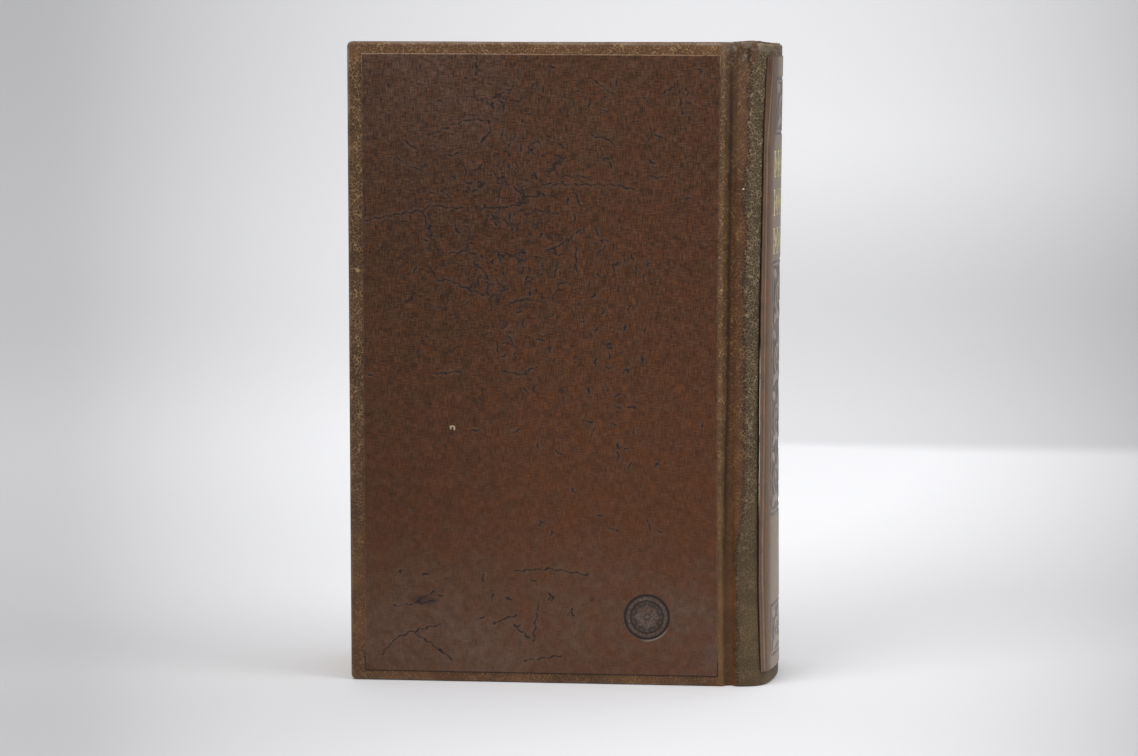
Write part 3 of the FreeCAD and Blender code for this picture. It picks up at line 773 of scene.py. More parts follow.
def makePaper(name, base, dark):
    material, shader, place = newMaterial(name)
    place = objectMillimetres(shader)
    stain = useGroup(mottle, Place=place, Size=38)
    foxing = useGroup(mottle, Place=place, Size=60)
    fibre = grainNoise(place, 2.2, 4, 0.7)
    mixed = tint(stain["Patches"] * 0.5, base, dark)
    mixed = tint(foxing["Specks"] * 0.45, mixed, colour(150, 112, 70))
    mixed = tint(spread(fibre, 0.3, 0.7, 0, 0.12), mixed, dark)
    finishSurface(shader, mixed, 0.88, fibre, 0.00006, 0.15)
    return material


def makeBoard(name, base, fleck):
    material, shader, place = newMaterial(name)
    place = objectMillimetres(shader)
    fibre = grainNoise(place, 1.6, 5, 0.75)
    patch = useGroup(mottle, Place=place, Size=12)
    mixed = tint(spread(fibre, 0.3, 0.7), base, fleck)
    mixed = tint(patch["Specks"] * 0.5, mixed, fleck)
    finishSurface(shader, mixed, 0.92, fibre, 0.0002, 0.15)
    return material


def makeWovenCloth(name):
    material, shader, place = newMaterial(name)
    place = objectMillimetres(shader)
    values = {"Vector": place, "Scale": 0.55, "Distortion": 0.6}
    waves = [feed("ShaderNodeTexWave", values, "Fac", bands_direction=along) for along in "ZX"]
    weave = greatest(*waves)
    mixed = tint(weave, colour(120, 108, 84), colour(206, 196, 168))
    finishSurface(shader, mixed, 0.9, weave, 0.0002, 0.15)
    return material


def makeThread(name):
    # sewn silk: the map's first axis counts along the band, so the two colours take turns
    material, shader, place = newMaterial(name)
    along = axes(place)[0]
    turn = calc("FRACT", along / (bandSize["threadPitch"] / mm * 6))
    dirtAndShade = useGroup(mottle, Place=place, Size=5)
    mixed = tint(spread(turn, 0.47, 0.53), colour(128, 52, 40), colour(186, 164, 122))
    mixed = tint(dirtAndShade["Patches"] * 0.4, mixed, colour(92, 68, 46))
    finishSurface(shader, mixed, 0.6, dirtAndShade["Patches"], 0.00003, 0.3)
    shader.inputs["Sheen Weight"].default_value = 0.25
    return material


bandSize = {"roundRadius": 46 * mm, "rollRadius": 1.1 * mm, "threadPitch": 0.5 * mm, "below": 0.9 * mm}

grainedLeather = makeGrainedLeather("grainedLeather")
backPanelLeather = makeSmoothLeather("backPanelLeather", (0, 0, 0), (-28, 168), True)
frontPanelLeather = makeSmoothLeather("frontPanelLeather", (430, 270, 0), (-10, 150), False)
spineLeather = makeSpineLeather("spineLeather")
rawEdge = makeRawEdge("rawLeatherEdge")
goldLeaf = makeGold("goldLeaf")
leafEdges = makeLeaves("leafEdges")
endpaper = makePaper("endpaper", colour(224, 212, 184), colour(202, 184, 148))
linerPaper = makePaper("linerPaper", colour(170, 140, 100), colour(140, 110, 74))
millboard = makeBoard("millboard", colour(132, 118, 98), colour(96, 84, 68))
spineCard = makeBoard("spineCard", colour(158, 138, 108), colour(126, 108, 82))
mullCloth = makeWovenCloth("mullCloth")
bandThread = makeThread("bandThread")
print("materials made")


# leather skins: one for each half of the binding


def onRound(arcs, depth):
    # points and outward directions round the spine, at places measured from its middle
    arcs = np.asarray(arcs, float)
    side, far = np.sign(arcs), np.abs(arcs)
    crownAngle = np.minimum(far, crownHalfArc) / binding["crownRadius"]
    turnAngle = np.maximum(far - crownHalfArc, 0) / binding["turnRadius"]
    angle = crownAngle + turnAngle
    onTurn = far > crownHalfArc
    centreX = np.where(onTurn, turnCentre[0], crownCentre[0])
    centreY = np.where(onTurn, turnCentre[1], 0.0)
    radius = np.where(onTurn, binding["turnRadius"], binding["crownRadius"]) - depth
    normalX, normalY = np.cos(angle), np.sin(angle)
    return centreX + radius * normalX, side * (centreY + radius * normalY), normalX, side * normalY


def arcStations(centre, radius, start, end, count, hollow=False):
    # stations along an arc. In a hollow one, such as the groove, the outside faces the centre
    stations = []
    for angle in np.radians(np.linspace(start, end, count)):
        direction = np.array([math.cos(angle), math.sin(angle)])
        stations.append((*(centre + radius * direction), *(-direction if hollow else direction)))
    return stations


def jointSection():
    # stations (x, height over the middle, outward x and y) from the middle of the spine to the cover
    size = binding
    toTurnEnd = crownHalfArc + size["turnRadius"] * (math.pi / 2 - turnStart)
    arcs = np.concatenate(
        [np.linspace(0, 25 * mm, 34), np.linspace(25 * mm, 33 * mm, 30)[1:], [toTurnEnd]]
    )
    rows = [tuple(float(value) for value in onRound(arc, panelThickness)) for arc in arcs]
    groove = np.array([hingeX, panelFace - size["grooveDrop"]])
    ridgeHeight = turnFace - panelThickness - size["ridgeRadius"]
    edgeHeight = leatherFace - size["coverEdgeRadius"]

    def touching(radius, height, way):
        # the centre of a round that touches the groove's, and the direction to it from there
        apart = math.sqrt((size["grooveRadius"] + radius) ** 2 - (groove[1] - height) ** 2)
        centre = np.array([hingeX + way * apart, height])
        return centre, math.degrees(math.atan2(*(centre - groove)[::-1]))

    ridge, toRidge = touching(size["ridgeRadius"], ridgeHeight, 1)
    edge, toEdge = touching(size["coverEdgeRadius"], edgeHeight, -1)
    rows += [(x, turnFace - panelThickness, 0.0, 1.0) for x in np.linspace(rows[-1][0], ridge[0], 4)[1:]]
    rows += arcStations(ridge, size["ridgeRadius"], 90, toRidge + 180, 12)[1:]
    grooveEnd = toEdge - (360 if toEdge > toRidge else 0)
    rows += arcStations(groove, size["grooveRadius"], toRidge, grooveEnd, 22, True)[1:]
    rows += arcStations(edge, size["coverEdgeRadius"], (toEdge + 180) % 360, 90, 9)[1:]
    return rows, edge[0], ridge[0]


sectionRows, boardEdge, ridgeX = jointSection()

spinePanel = {
    "tail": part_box("spine_panel")[0][2] / mm,
    "head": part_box("spine_panel")[1][2] / mm,
    # where the back edge of the panel lies round the spine, by height
    "backEdge": (
        (0, 27.8), (12, 28.3), (36, 29), (70, 28.95), (108, 28.85),
        (145, 28.4), (182, 27.9), (208, 27.7), (228, 26.9), (240, 25.9),
    ),
    "frontEdge": 29.0,
    # how far that edge has lifted, by height
    "lift": (
        (0, 0.05), (12, 0.25), (33, 0.4), (70, 0.75), (90, 1), (112, 0.9),
        (145, 0.5), (182, 0.4), (208, 0.3), (228, 0.12), (240, 0.05),
    ),
    "thickness": 0.55 * mm,
    "sunk": 0.28 * mm,
    "fieldHalf": 17.6,
    "fields": ((205.0, 227.0), (63.0, 159.0), (9.5, 30.0)),
    # a pale ridge between two lines runs down the panel beside its edge, by height
    "ruleAt": ((0, 25.9), (45, 27.3), (90, 26.6), (150, 26.0), (202, 25.9), (214, 24.5), (236, 21.8)),
    "ruleHalf": 0.9,
    # the tooling was struck a little askew, by height
    "fieldSkew": ((0, 2.6), (20, 2.8), (63, 3.3), (160, 1.3), (216, -0.4), (240, -0.8)),
}


def byHeight(key, upward):
    return np.interp(upward, *zip(*spinePanel[key]))


def rimProfile(depth, outerRound, innerRound, reach):
    # leather folded over the head: (below the face, below the head) pairs, from the face to the turn-in
    pairs = []
    for angle in np.linspace(0, math.pi / 2, 7):
        pairs.append((outerRound * (1 - math.cos(angle)), outerRound * (1 - math.sin(angle))))
    for angle in np.linspace(0, math.pi / 2, 5):
        pairs.append((depth - innerRound * (1 - math.sin(angle)), innerRound * (1 - math.cos(angle))))
    for share in (0.3, 0.6, 1.0):
        pairs.append((depth, innerRound + (reach - innerRound) * share))
    return pairs


def stationDepth(x):
    # the fold's thickness: a whole board at the cover, two skins in the joint, a lined cap on the spine
    size = binding
    if x <= boardEdge + 1e-7:
        return size["coverDepth"], size["coverEdgeRadius"], size["coverInnerRadius"]
    share = float(smoothStep(ridgeX, ridgeX + 5 * mm, x))
    depth = size["jointDepth"] + (size["spineDepth"] - size["jointDepth"]) * share
    return depth, 0.4 * mm + 0.6 * mm * share, 0.35 * mm + 0.15 * mm * share


def coverOutline():
    # the three folded edges of a cover, from the joint round the fore edge: (x, z, inward x and z)
    corner = binding["coverCorner"]
    along = np.linspace(binding["flatFrom"], foreEdge + corner, 44)

    def roundCorner(middleZ, start):
        turns = np.radians(np.linspace(start, start + 90, 9)[1:-1])
        return [
            (foreEdge + corner + corner * dx, middleZ + corner * dz, -dx, -dz)
            for dx, dz in zip(np.cos(turns), np.sin(turns))
        ]

    rows = [(x, bookHead, 0.0, -1.0) for x in along]
    rows += roundCorner(bookHead - corner, 90)
    rows += [(foreEdge, z, 1.0, 0.0) for z in np.linspace(bookHead - corner, corner, 74)]
    rows += roundCorner(corner, 180)
    return rows + [(x, 0.0, 0.0, 1.0) for x in along[::-1]]


def inwardPoint(row, inset):
    # moves in from the outline, and along the mitre once past the round of a corner
    x, z, inX, inZ = row
    if inset > binding["coverCorner"]:
        return max(x + inX * inset, foreEdge + inset), min(max(z + inZ * inset, inset), bookHead - inset)
    return x + inX * inset, z + inZ * inset


def foldedPlaces(pairs, faceCount, outerRound):
    # how far each point lies past the start of the rounding, and its inset once the fold is laid out flat
    steps = np.hypot(*np.diff(np.array(pairs), axis=0).T)
    folded = np.concatenate([[0], np.cumsum(steps)])
    folded -= folded[faceCount]
    flat = [inset if past <= 0 else outerRound - past for (_, inset), past in zip(pairs, folded)]
    rim = np.exp(-(((folded - outerRound * 0.8) / (0.9 * mm)) ** 2))
    return flat, rim


def edgeOfSpinePanel(z):
    # where the spine panel's back edge lies round the spine, and how much it has lifted, at one height
    return byHeight("backEdge", z / mm) * mm, byHeight("lift", z / mm)


def buildSkin(name, side):
    # the grained leather of one cover and its half of the spine. side is -1 at the back, +1 at the front
    sheets = newSheets()
    size = binding
    rows = coverOutline()
    face = [(0.0, inset * mm) for inset in (20, 12, 8, 6, 4.5, 3.2, 2.2)]
    edgeRadius = size["coverEdgeRadius"]
    pairs = face + rimProfile(size["coverDepth"], edgeRadius, size["coverInnerRadius"], size["turnIn"])
    flat, rim = foldedPlaces(pairs, len(face), edgeRadius)
    points, uvs = [], []
    for row in rows:
        line, places = [], []
        for (depth, inset), flatInset in zip(pairs, flat):
            x, z = inwardPoint(row, inset)
            line.append((x, side * (leatherFace - depth), z))
            if inset != flatInset:
                x, z = row[0] + row[2] * flatInset, row[1] + row[3] * flatInset
            places.append((uAtCover(x), z))
        points.append(line)
        uvs.append(places)
    rims = np.ones((len(rows), 1)) * rim
    addGrid(sheets, points, uvs, (0.0, side * (leatherFace - 2 * mm), bookHead / 2), rim=rims)

    # the joint side of the cover, the groove and half of the spine
    stations = list(sectionRows)
    stations += [(x, leatherFace, 0.0, 1.0) for x in np.linspace(boardEdge, size["flatFrom"], 6)[1:]]
    steps = [math.dist(first[:2], second[:2]) for first, second in zip(stations, stations[1:])]
    lengths = np.concatenate([[0], np.cumsum(steps)])
    heights = np.linspace(20 * mm, bookHead - 20 * mm, 70)[1:-1]
    points, uvs, rims, shadows = [], [], [], []
    for (x, y, nx, ny), length in zip(stations, lengths):
        depth, outerRound, innerRound = stationDepth(x)
        pairs = face + rimProfile(depth, outerRound, innerRound, size["turnIn"])
        flat, rim = foldedPlaces(pairs, len(face), outerRound)
        line = [(x - nx * below, side * (y - ny * below), inset) for below, inset in pairs[::-1]]
        line += [(x, side * y, z) for z in heights]
        line += [(x - nx * below, side * (y - ny * below), bookHead - inset) for below, inset in pairs]
        upwards = np.concatenate([flat[::-1], heights, bookHead - np.array(flat)])
        points.append(line)
        uvs.append([(length, upward) for upward in upwards])
        rims.append(np.concatenate([rim[::-1] * 0.4, np.zeros(len(heights)), rim]))
        edge, lift = edgeOfSpinePanel(upwards)
        # the map is measured on the leather, a little inside the face of the panel
        edge = crownHalfArc + (edge - crownHalfArc) * (1 - panelThickness / size["turnRadius"])
        near = np.clip((edge + 0.7 * mm - length) / (1.1 * mm), 0, 1)
        shadows.append(near * np.clip(lift / 0.25, 0, 1) * (side < 0))
    behind = (spineCrown - 30 * mm, 0.0, bookHead / 2)
    addGrid(sheets, points, uvs, behind, rim=rims, panelShadow=shadows)
    return buildPiece(sheets, name, [grainedLeather], sharp=50, shape=crumpled)


sectionSteps = [math.dist(first[:2], second[:2]) for first, second in zip(sectionRows, sectionRows[1:])]
sectionLength = sum(sectionSteps)


def uAtCover(x):
    return sectionLength + boardEdge - x


for side, name in ((-1, "back"), (1, "front")):
    skin = buildSkin(f"{name}LeatherSkin", side)
    side * leatherFace
    side * leatherFace
    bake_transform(skin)
    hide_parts(f"{name}_leather", "spine_leather")
print("leather skins made")


# smooth cover panels

coverPanel = {
    "sunk": 0.05 * mm,  # how far its foot goes into the leather below it
    "edgeSteps": ((0.0, 0.0), (0.04, 0.3), (0.16, 0.41), (0.5, 0.45)),  # inset and height, in mm
    "wander": 0.07 * mm,
    "coarse": 0.8,
    "fine": 0.25,
}
stamp = {
    "fromHinge": 30.75 * mm,
    "height": 25.9 * mm,
    "radius": 8.6,
    "sunk": 0.24,
    "ringRadius": 6.1,
    "beads": 26,
    "petals": 8,
}
# folds of the dried leather, in mm from the lower corner at the fore edge
backFolds = (
    ((1, 170), (11, 172), (23, 174), (26, 176), (33, 175), (37, 175)),
    ((23, 174), (24, 170), (26, 166)),
    ((45, 175), (51, 175), (57, 176), (62, 177)),
    ((53, 185), (58, 182), (62, 179), (68, 180)),
    ((50, 187), (52, 183), (51, 178)),
    ((55, 191), (56, 188)),
    ((30, 181), (33, 179)),
    ((28, 203), (35, 206), (42, 208), (48, 207), (48, 203), (45, 200)),
    ((16, 200), (20, 197)),
    ((14, 193), (19, 190), (24, 188)),
    ((30, 194), (36, 195)),
    ((50, 216), (57, 220)),
    ((53, 215), (53, 211)),
    ((68, 184), (84, 184), (95, 184), (102, 182)),
    ((69, 159), (75, 162), (78, 164), (81, 167)),
    ((55, 173), (56, 167)),
    ((28, 148), (33, 148), (39, 145), (48, 142)),
    ((33, 158), (39, 159), (42, 158)),
    ((87, 222), (93, 218)),
    ((86, 202), (92, 201), (94, 199)),
    ((118, 219), (119, 211)),
    ((80, 180), (81, 177)),
    ((80, 160), (80, 152)),
    ((56, 140), (61, 141)),
    ((52, 144), (54, 145)),
    ((53, 151), (54, 148)),
    ((51, 158), (52, 155)),
    ((75, 187), (83, 187)),
    ((108, 187), (113, 187)),
    ((43, 230), (43, 225)),
    ((58, 39), (70, 40), (84, 38)),
    ((12, 25), (19, 26), (26, 27)),
    ((20, 27), (27, 31)),
    ((7, 7), (11, 12), (17, 15), (28, 18)),
    ((19, 15), (28, 9), (34, 4)),
    ((64, 13), (65, 21), (66, 27)),
    ((56, 19), (62, 14)),
    ((49, 19), (57, 22)),
    ((61, 5), (74, 7)),
    ((28, 113), (37, 114)),
    ((53, 114), (60, 113), (65, 116)),
)
# where small nicks crowd: middle, spread and how many
backNicks = (
    ((52, 178), (15, 18), 60),
    ((54, 150), (12, 18), 40),
    ((78, 165), (10, 20), 24),
    ((95, 118), (5, 26), 26),
    ((70, 120), (24, 24), 20),
    ((60, 222), (34, 7), 24),
    ((112, 196), (14, 22), 16),
    ((84, 62), (16, 14), 12),
    ((40, 24), (22, 12), 12),
)


def smallNicks(clusters, seed):
    # short lines, mostly along the threads that were pressed into the leather
    dice = np.random.default_rng(seed)
    lines = []
    for middle, width, count in clusters:
        for _ in range(count):
            centre = dice.normal(middle, width)
            turn = dice.choice([0.0, math.pi / 2]) + dice.normal(0, 0.28)
            half = dice.uniform(0.3, 1.1) * np.array([math.cos(turn), math.sin(turn)])
            bend = dice.normal(0, 0.22, 2)
            lines.append((tuple(centre - half), tuple(centre + bend), tuple(centre + half)))
    return lines


def lineMarks(x, z, lines):
    # how far each point lies to the side of the nearest line, with a sign, and how near that line is
    sideways = np.full(x.shape, 3.0)
    nearness = np.full(x.shape, 3.0)
    reach = 2.2
    # the lines waver a little
    bentX = x + 0.35 * np.sin(1.6 * z + 2.0 * np.sin(0.9 * x))
    bentZ = z + 0.35 * np.sin(1.4 * x + 2.0 * np.sin(0.8 * z))
    for line in lines:
        for (ax, az), (bx, bz) in zip(line, line[1:]):
            rows = slice(*np.searchsorted(z[:, 0], (min(az, bz) - reach, max(az, bz) + reach)))
            columns = slice(*np.searchsorted(x[0], (min(ax, bx) - reach, max(ax, bx) + reach)))
            dx, dz = bx - ax, bz - az
            px, pz = bentX[rows, columns] - ax, bentZ[rows, columns] - az
            along = np.clip((px * dx + pz * dz) / (dx * dx + dz * dz), 0, 1)
            away = np.hypot(px - along * dx, pz - along * dz)
            across = (px * dz - pz * dx) / math.hypot(dx, dz)
            closer = away < nearness[rows, columns]
            nearness[rows, columns][closer] = away[closer]
            sideways[rows, columns][closer] = across[closer]
    return np.clip(sideways, -3, 3), nearness


def stampRelief(r, angle):
    # height over the sunk floor: a rim, a ring of beads, a fine ring and a rosette, all in mm
    outer, ring = stamp["radius"], stamp["ringRadius"]
    beadCircle = (ring + outer - 0.9) / 2
    beadTurn = 2 * math.pi / stamp["beads"]
    nearest = np.round(angle / beadTurn) * beadTurn
    toBead = np.hypot(r * np.cos(angle - nearest) - beadCircle, r * np.sin(angle - nearest))
    height = 0.15 * smoothStep(0.75, 0.3, toBead)
    band = smoothStep(0.95, 0.6, np.abs(r - beadCircle))
    height = np.maximum(height, 0.07 * band)
    petalTurn = 2 * math.pi / stamp["petals"]
    for offset, length, width in ((0.0, 5.0, 1.2), (petalTurn / 2, 4.4, 0.75)):
        turned = angle - offset
        local = turned - np.round(turned / petalTurn) * petalTurn
        along, aside = r * np.cos(local), np.abs(r * np.sin(local))
        half = width * np.sin(np.pi * np.clip((along - 1.0) / (length - 1.0), 0, 1)) ** 0.8
        inside = smoothStep(0.0, 0.35, half - aside) * (half > 0)
        height = np.maximum(height, 0.17 * inside * (1 - 0.55 * smoothStep(0.22, 0.05, aside)))
    tipTurn = np.round(angle / petalTurn * 2) * petalTurn / 2
    toTip = np.hypot(r * np.cos(angle - tipTurn) - 5.35, r * np.sin(angle - tipTurn))
    height = np.maximum(height, 0.15 * smoothStep(0.4, 0.15, toTip))
    return np.maximum(height, 0.18 * smoothStep(1.0, 0.5, r))


def spreadPlaces(low, high, coarse, fine, fineRanges):
    # places between two ends, close together inside the given ranges
    places = [low]
    while places[-1] < high - 1e-6:
        here = places[-1]
        inFine = any(start - 0.5 <= here <= end + 0.3 for start, end in fineRanges)
        step = fine if inFine else coarse
        places.append(high if here + 1.4 * step > high else here + step)
    return np.array(places)


def buildPanel(name, node, side, material, lines, stamped):
    low, high = (np.array(corner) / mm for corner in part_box(node))
    size = coverPanel
    centre = np.array([hingeX / mm - stamp["fromHinge"] / mm, stamp["height"] / mm])
    reach = stamp["radius"] + 0.6
    insets = [inset for inset, _ in size["edgeSteps"]]
    ends = insets[-1]
    ranges = [[(middle - reach, middle + reach)] if stamped else [] for middle in centre]
    coarse = size["coarse"] if lines else 2.5
    xs, zs = (
        np.concatenate([
            [low[axis] + inset for inset in insets[:-1]],
            spreadPlaces(low[axis] + ends, high[axis] - ends, coarse, size["fine"], ranges[number]),
            [high[axis] - inset for inset in insets[-2::-1]],
        ])
        for number, axis in enumerate((0, 2))
    )
    x, z = np.meshgrid(xs, zs)
    toEdge = np.minimum(np.minimum(x - low[0], high[0] - x), np.minimum(z - low[2], high[2] - z))
    height = np.interp(toEdge, *zip(*size["edgeSteps"])) - size["sunk"] / mm
    # the cut edge wanders a little, and lies at most on the panel's own outline
    pull = size["wander"] / mm * (1 - smoothStep(0.5, 6.0, toEdge))
    lineX = np.array([wobble(pz * 0.07, 3.0 * side) for pz in zs])[:, None]
    lineZ = np.array([wobble(px * 0.07, 8.0 * side) for px in xs])[None, :]
    middle = (low + high) / 2

    def drawnIn(places, axis, line):
        near = smoothStep(8.0, 0.5, np.minimum(places - low[axis], high[axis] - places))
        return (places + np.sign(middle[axis] - places) * pull * (1 + line) * near) * mm

    sideways, nearness = lineMarks(x - low[0], z - low[2], lines)
    hollow, lip, stampFace = np.zeros_like(x), np.zeros_like(x), np.zeros_like(x)
    if stamped:
        dx, dz = x - centre[0], z - centre[1]
        r, angle = np.hypot(dx, dz), np.arctan2(dz, dx)
        dip = smoothStep(stamp["radius"] + 0.3, stamp["radius"] - 0.15, r)
        relief = stampRelief(r, angle) * dip
        rise = np.exp(-(((r - stamp["radius"] - 0.25) / 0.25) ** 2))
        height = height - stamp["sunk"] * dip + relief + 0.05 * rise
        ring = smoothStep(0.62, 0.25, np.abs(r - stamp["radius"] + 0.35))
        innerRing = smoothStep(0.4, 0.15, np.abs(r - stamp["ringRadius"]))
        face = smoothStep(0.0, 0.15, relief)
        hollow = dip * np.maximum(0.7 * (1 - face), np.maximum(ring, innerRing * 0.9))
        stampFace = dip * (1 - ring) * (1 - innerRing)
        # painted highlight: the lower right side of the stamp's lip
        lip = rise**2 * smoothStep(0.7, 1.0, (dx * 0.42 - dz * 0.9) / np.maximum(r, 0.1)) * 0.7
    points = asPoints(drawnIn(x, 0, lineX), side * (leatherFace + height * mm), drawnIn(z, 2, lineZ))
    sheets = newSheets()
    behind = (0.0, side * (leatherFace - 20 * mm), bookHead / 2)
    marks = {"hollow": hollow, "lip": lip, "stampFace": stampFace, "edge": smoothStep(0.45, 0.0, toEdge)}
    marks.update(sideways=sideways, nearness=nearness)
    addGrid(sheets, points, asPoints(x, z) * mm, behind, **marks)
    return buildPiece(sheets, name, [material], sharp=55, shape=settle)


backLines = [[(px, pz) for px, pz in fold] for fold in backFolds] + smallNicks(backNicks, 11)
for name, side, material, lines in (
    ("back", -1, backPanelLeather, backLines),
    ("front", 1, frontPanelLeather, []),
):
    panel = buildPanel(f"{name}SmoothPanel", f"{name}_panel", side, material, lines, side < 0)
    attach(panel, f"{name}_cover")
    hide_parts(f"{name}_panel")
print("cover panels made")


# spine panel with blind tooling and gilt rows

giltRows = [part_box(f"spine_gilt_{row}_row") for row in ("upper", "middle", "lower")]
# the leaves of a scroll: across and up, as shares of its tier, the angle and the length
scrollLeaves = (
    (0.12, 0.12, 38, 0.5),
    (0.14, 0.6, 60, 0.36),
    (0.55, 0.16, 8, 0.36),
    (0.62, 0.86, -14, 0.34),
    (0.5, 0.5, 120, 0.12),
)


def scrollStrokes(half, bottom, top, tiers):
    # leafy scrolls in mirror pairs up a field: (across, height, half width) samples, in mm
    strokes = []
    tall = (top - bottom) / tiers
    for tier in range(tiers):
        base = bottom + tall * tier
        reach = half * 0.86
        for turn in np.linspace(0, 1, 46):
            # the main scroll leaves the stem, swings out and curls in on itself
            sweep = math.radians(-70 + 420 * turn)
            curl = reach * 0.42 * (1 - 0.72 * turn)
            strokeX = reach * 0.5 + curl * math.cos(sweep)
            strokeZ = base + tall * 0.5 + curl * math.sin(sweep) * tall / reach * 0.62
            strokes.append((strokeX, strokeZ, 1.0 - 0.45 * turn))
        for turn in np.linspace(0, 1, 24):
            strokes.append((half * 0.1 * math.sin(math.pi * 2 * turn), base + tall * turn, 0.5))
        for leaf, (leafX, leafZ, angle, length) in enumerate(scrollLeaves):
            for turn in np.linspace(0, 1, 18):
                bend = math.radians(angle + 34 * turn * (1 if leaf % 2 else -1))
                strokeX = half * leafX + half * length * turn * math.cos(bend)
                strokeZ = base + tall * leafZ + half * length * turn * math.sin(bend)
                strokes.append((strokeX, strokeZ, 0.2 + 1.9 * math.sin(math.pi * turn) ** 0.8))
    strokes = np.array(strokes)
    return np.concatenate([strokes, strokes * [-1, 1, 1]])


def toolingMarks(across, upward):
    # in mm: how deep each point is tooled (0 to 1), the tooled fields, the pale ridges, what lies outside
    sunk, fields, ridges = np.zeros_like(across), np.zeros_like(across), np.zeros_like(across)
    half = spinePanel["fieldHalf"]
    skewed = across + byHeight("fieldSkew", upward)
    for (bottom, top), tiers in zip(spinePanel["fields"], (1, 4, 1)):
        toEdge = np.minimum(half - np.abs(skewed), np.minimum(upward - bottom, top - upward))
        inside = smoothStep(0.0, 0.35, toEdge)
        raised = smoothStep(0.42, 0.2, np.abs(toEdge - 1.75))
        near = inside > 0
        places = asPoints(skewed[near], upward[near])
        best = np.zeros(len(places))
        for strokeX, strokeZ, width in scrollStrokes(half - 2.2, bottom + 2.2, top - 2.2, tiers):
            close = np.abs(places[:, 1] - strokeZ) < width
            away = np.hypot(places[close, 0] - strokeX, places[close, 1] - strokeZ)
            best[close] = np.maximum(best[close], np.sqrt(np.clip(1 - (away / width) ** 2, 0, 1)))
        raised[near] = np.maximum(raised[near], best)
        sunk = np.maximum(sunk, inside * (1 - 0.9 * np.clip(raised, 0, 1)))
        fields = np.maximum(fields, inside)
    fromRule = np.abs(across) - byHeight("ruleAt", upward)
    besideRule = np.abs(np.abs(fromRule) - spinePanel["ruleHalf"])
    sunk = np.maximum(sunk, 0.6 * smoothStep(0.34, 0.1, besideRule))
    ridges = smoothStep(0.5, 0.2, np.abs(fromRule))
    return sunk, fields, ridges, smoothStep(0.2, 0.9, fromRule)


def buildSpinePanel(name):
    size = spinePanel
    half, front = size["fieldHalf"], size["frontEdge"]
    inner, outer = 20.5, 28.0
    places = spreadPlaces(
        -front, front, 0.9, 0.33, [(-outer, -inner), (-half - 3.4, half + 0.5), (inner, outer)]
    )
    upward = spreadPlaces(size["tail"], size["head"], 1.1, 0.36, size["fields"])
    edges = np.array([edgeOfSpinePanel(z * mm) for z in upward])
    ragged = np.array([wobble(z * 0.25, 2.0) * 0.1 + wobble(z * 1.9, 5.0) * 0.05 for z in upward])
    edge = edges[:, 0] / mm + ragged
    arcs = np.ones((len(upward), 1)) * places
    # the outer third is drawn in or out to the real edge
    share = np.clip((-arcs - half) / (front - half), 0, 1)
    arcs = np.where(arcs < -half, -(half + share * (edge - half)[:, None]), arcs)
    heights = upward[:, None] * np.ones_like(arcs)
    sunk, fields, ridges, outside = toolingMarks(arcs, heights)
    rise = edges[:, 1][:, None] * share**4 * mm
    depth = sunk * size["sunk"] - rise
    x, y, nx, ny = onRound(arcs * mm, 0.0)
    face = asPoints(x - nx * depth, y - ny * depth, heights * mm)
    below = size["thickness"] - rise
    under = asPoints(x - nx * below, y - ny * below, heights * mm)
    uv = asPoints(arcs, heights) * mm
    sheets = newSheets()
    behind = (spineCrown - 40 * mm, 0.0, bookHead / 2)
    addGrid(sheets, face, uv, behind, tooling=sunk, field=fields, ridge=ridges, outside=outside)
    middle = (spineCrown - 6 * mm, 0.0, bookHead / 2)
    for pick, slot in ((np.s_[:, 0], 1), (np.s_[:, -1], 0), (np.s_[0], 0), (np.s_[-1], 0)):
        mapped = np.stack([uv[pick], uv[pick] + [0.0004, 0.0]])
        addGrid(sheets, np.stack([face[pick], under[pick]]), mapped, middle, slot)
    # the hidden side of the lifted edge
    lifted = places < -20
    addGrid(sheets, under[:, lifted], uv[:, lifted], (spineCrown + 40 * mm, -20 * mm, bookHead / 2), 1)
    return buildPiece(sheets, name, [spineLeather, rawEdge], sharp=55, shape=settle)


giltRow = {
    "bars": 7,
    "pitch": 5.8,
    "barWidth": 1.25,
    "footWidth": 2.8,
    "footHeight": 0.6,
    "lozengeWidth": 3.4,
    "proud": 0.05 * mm,
}


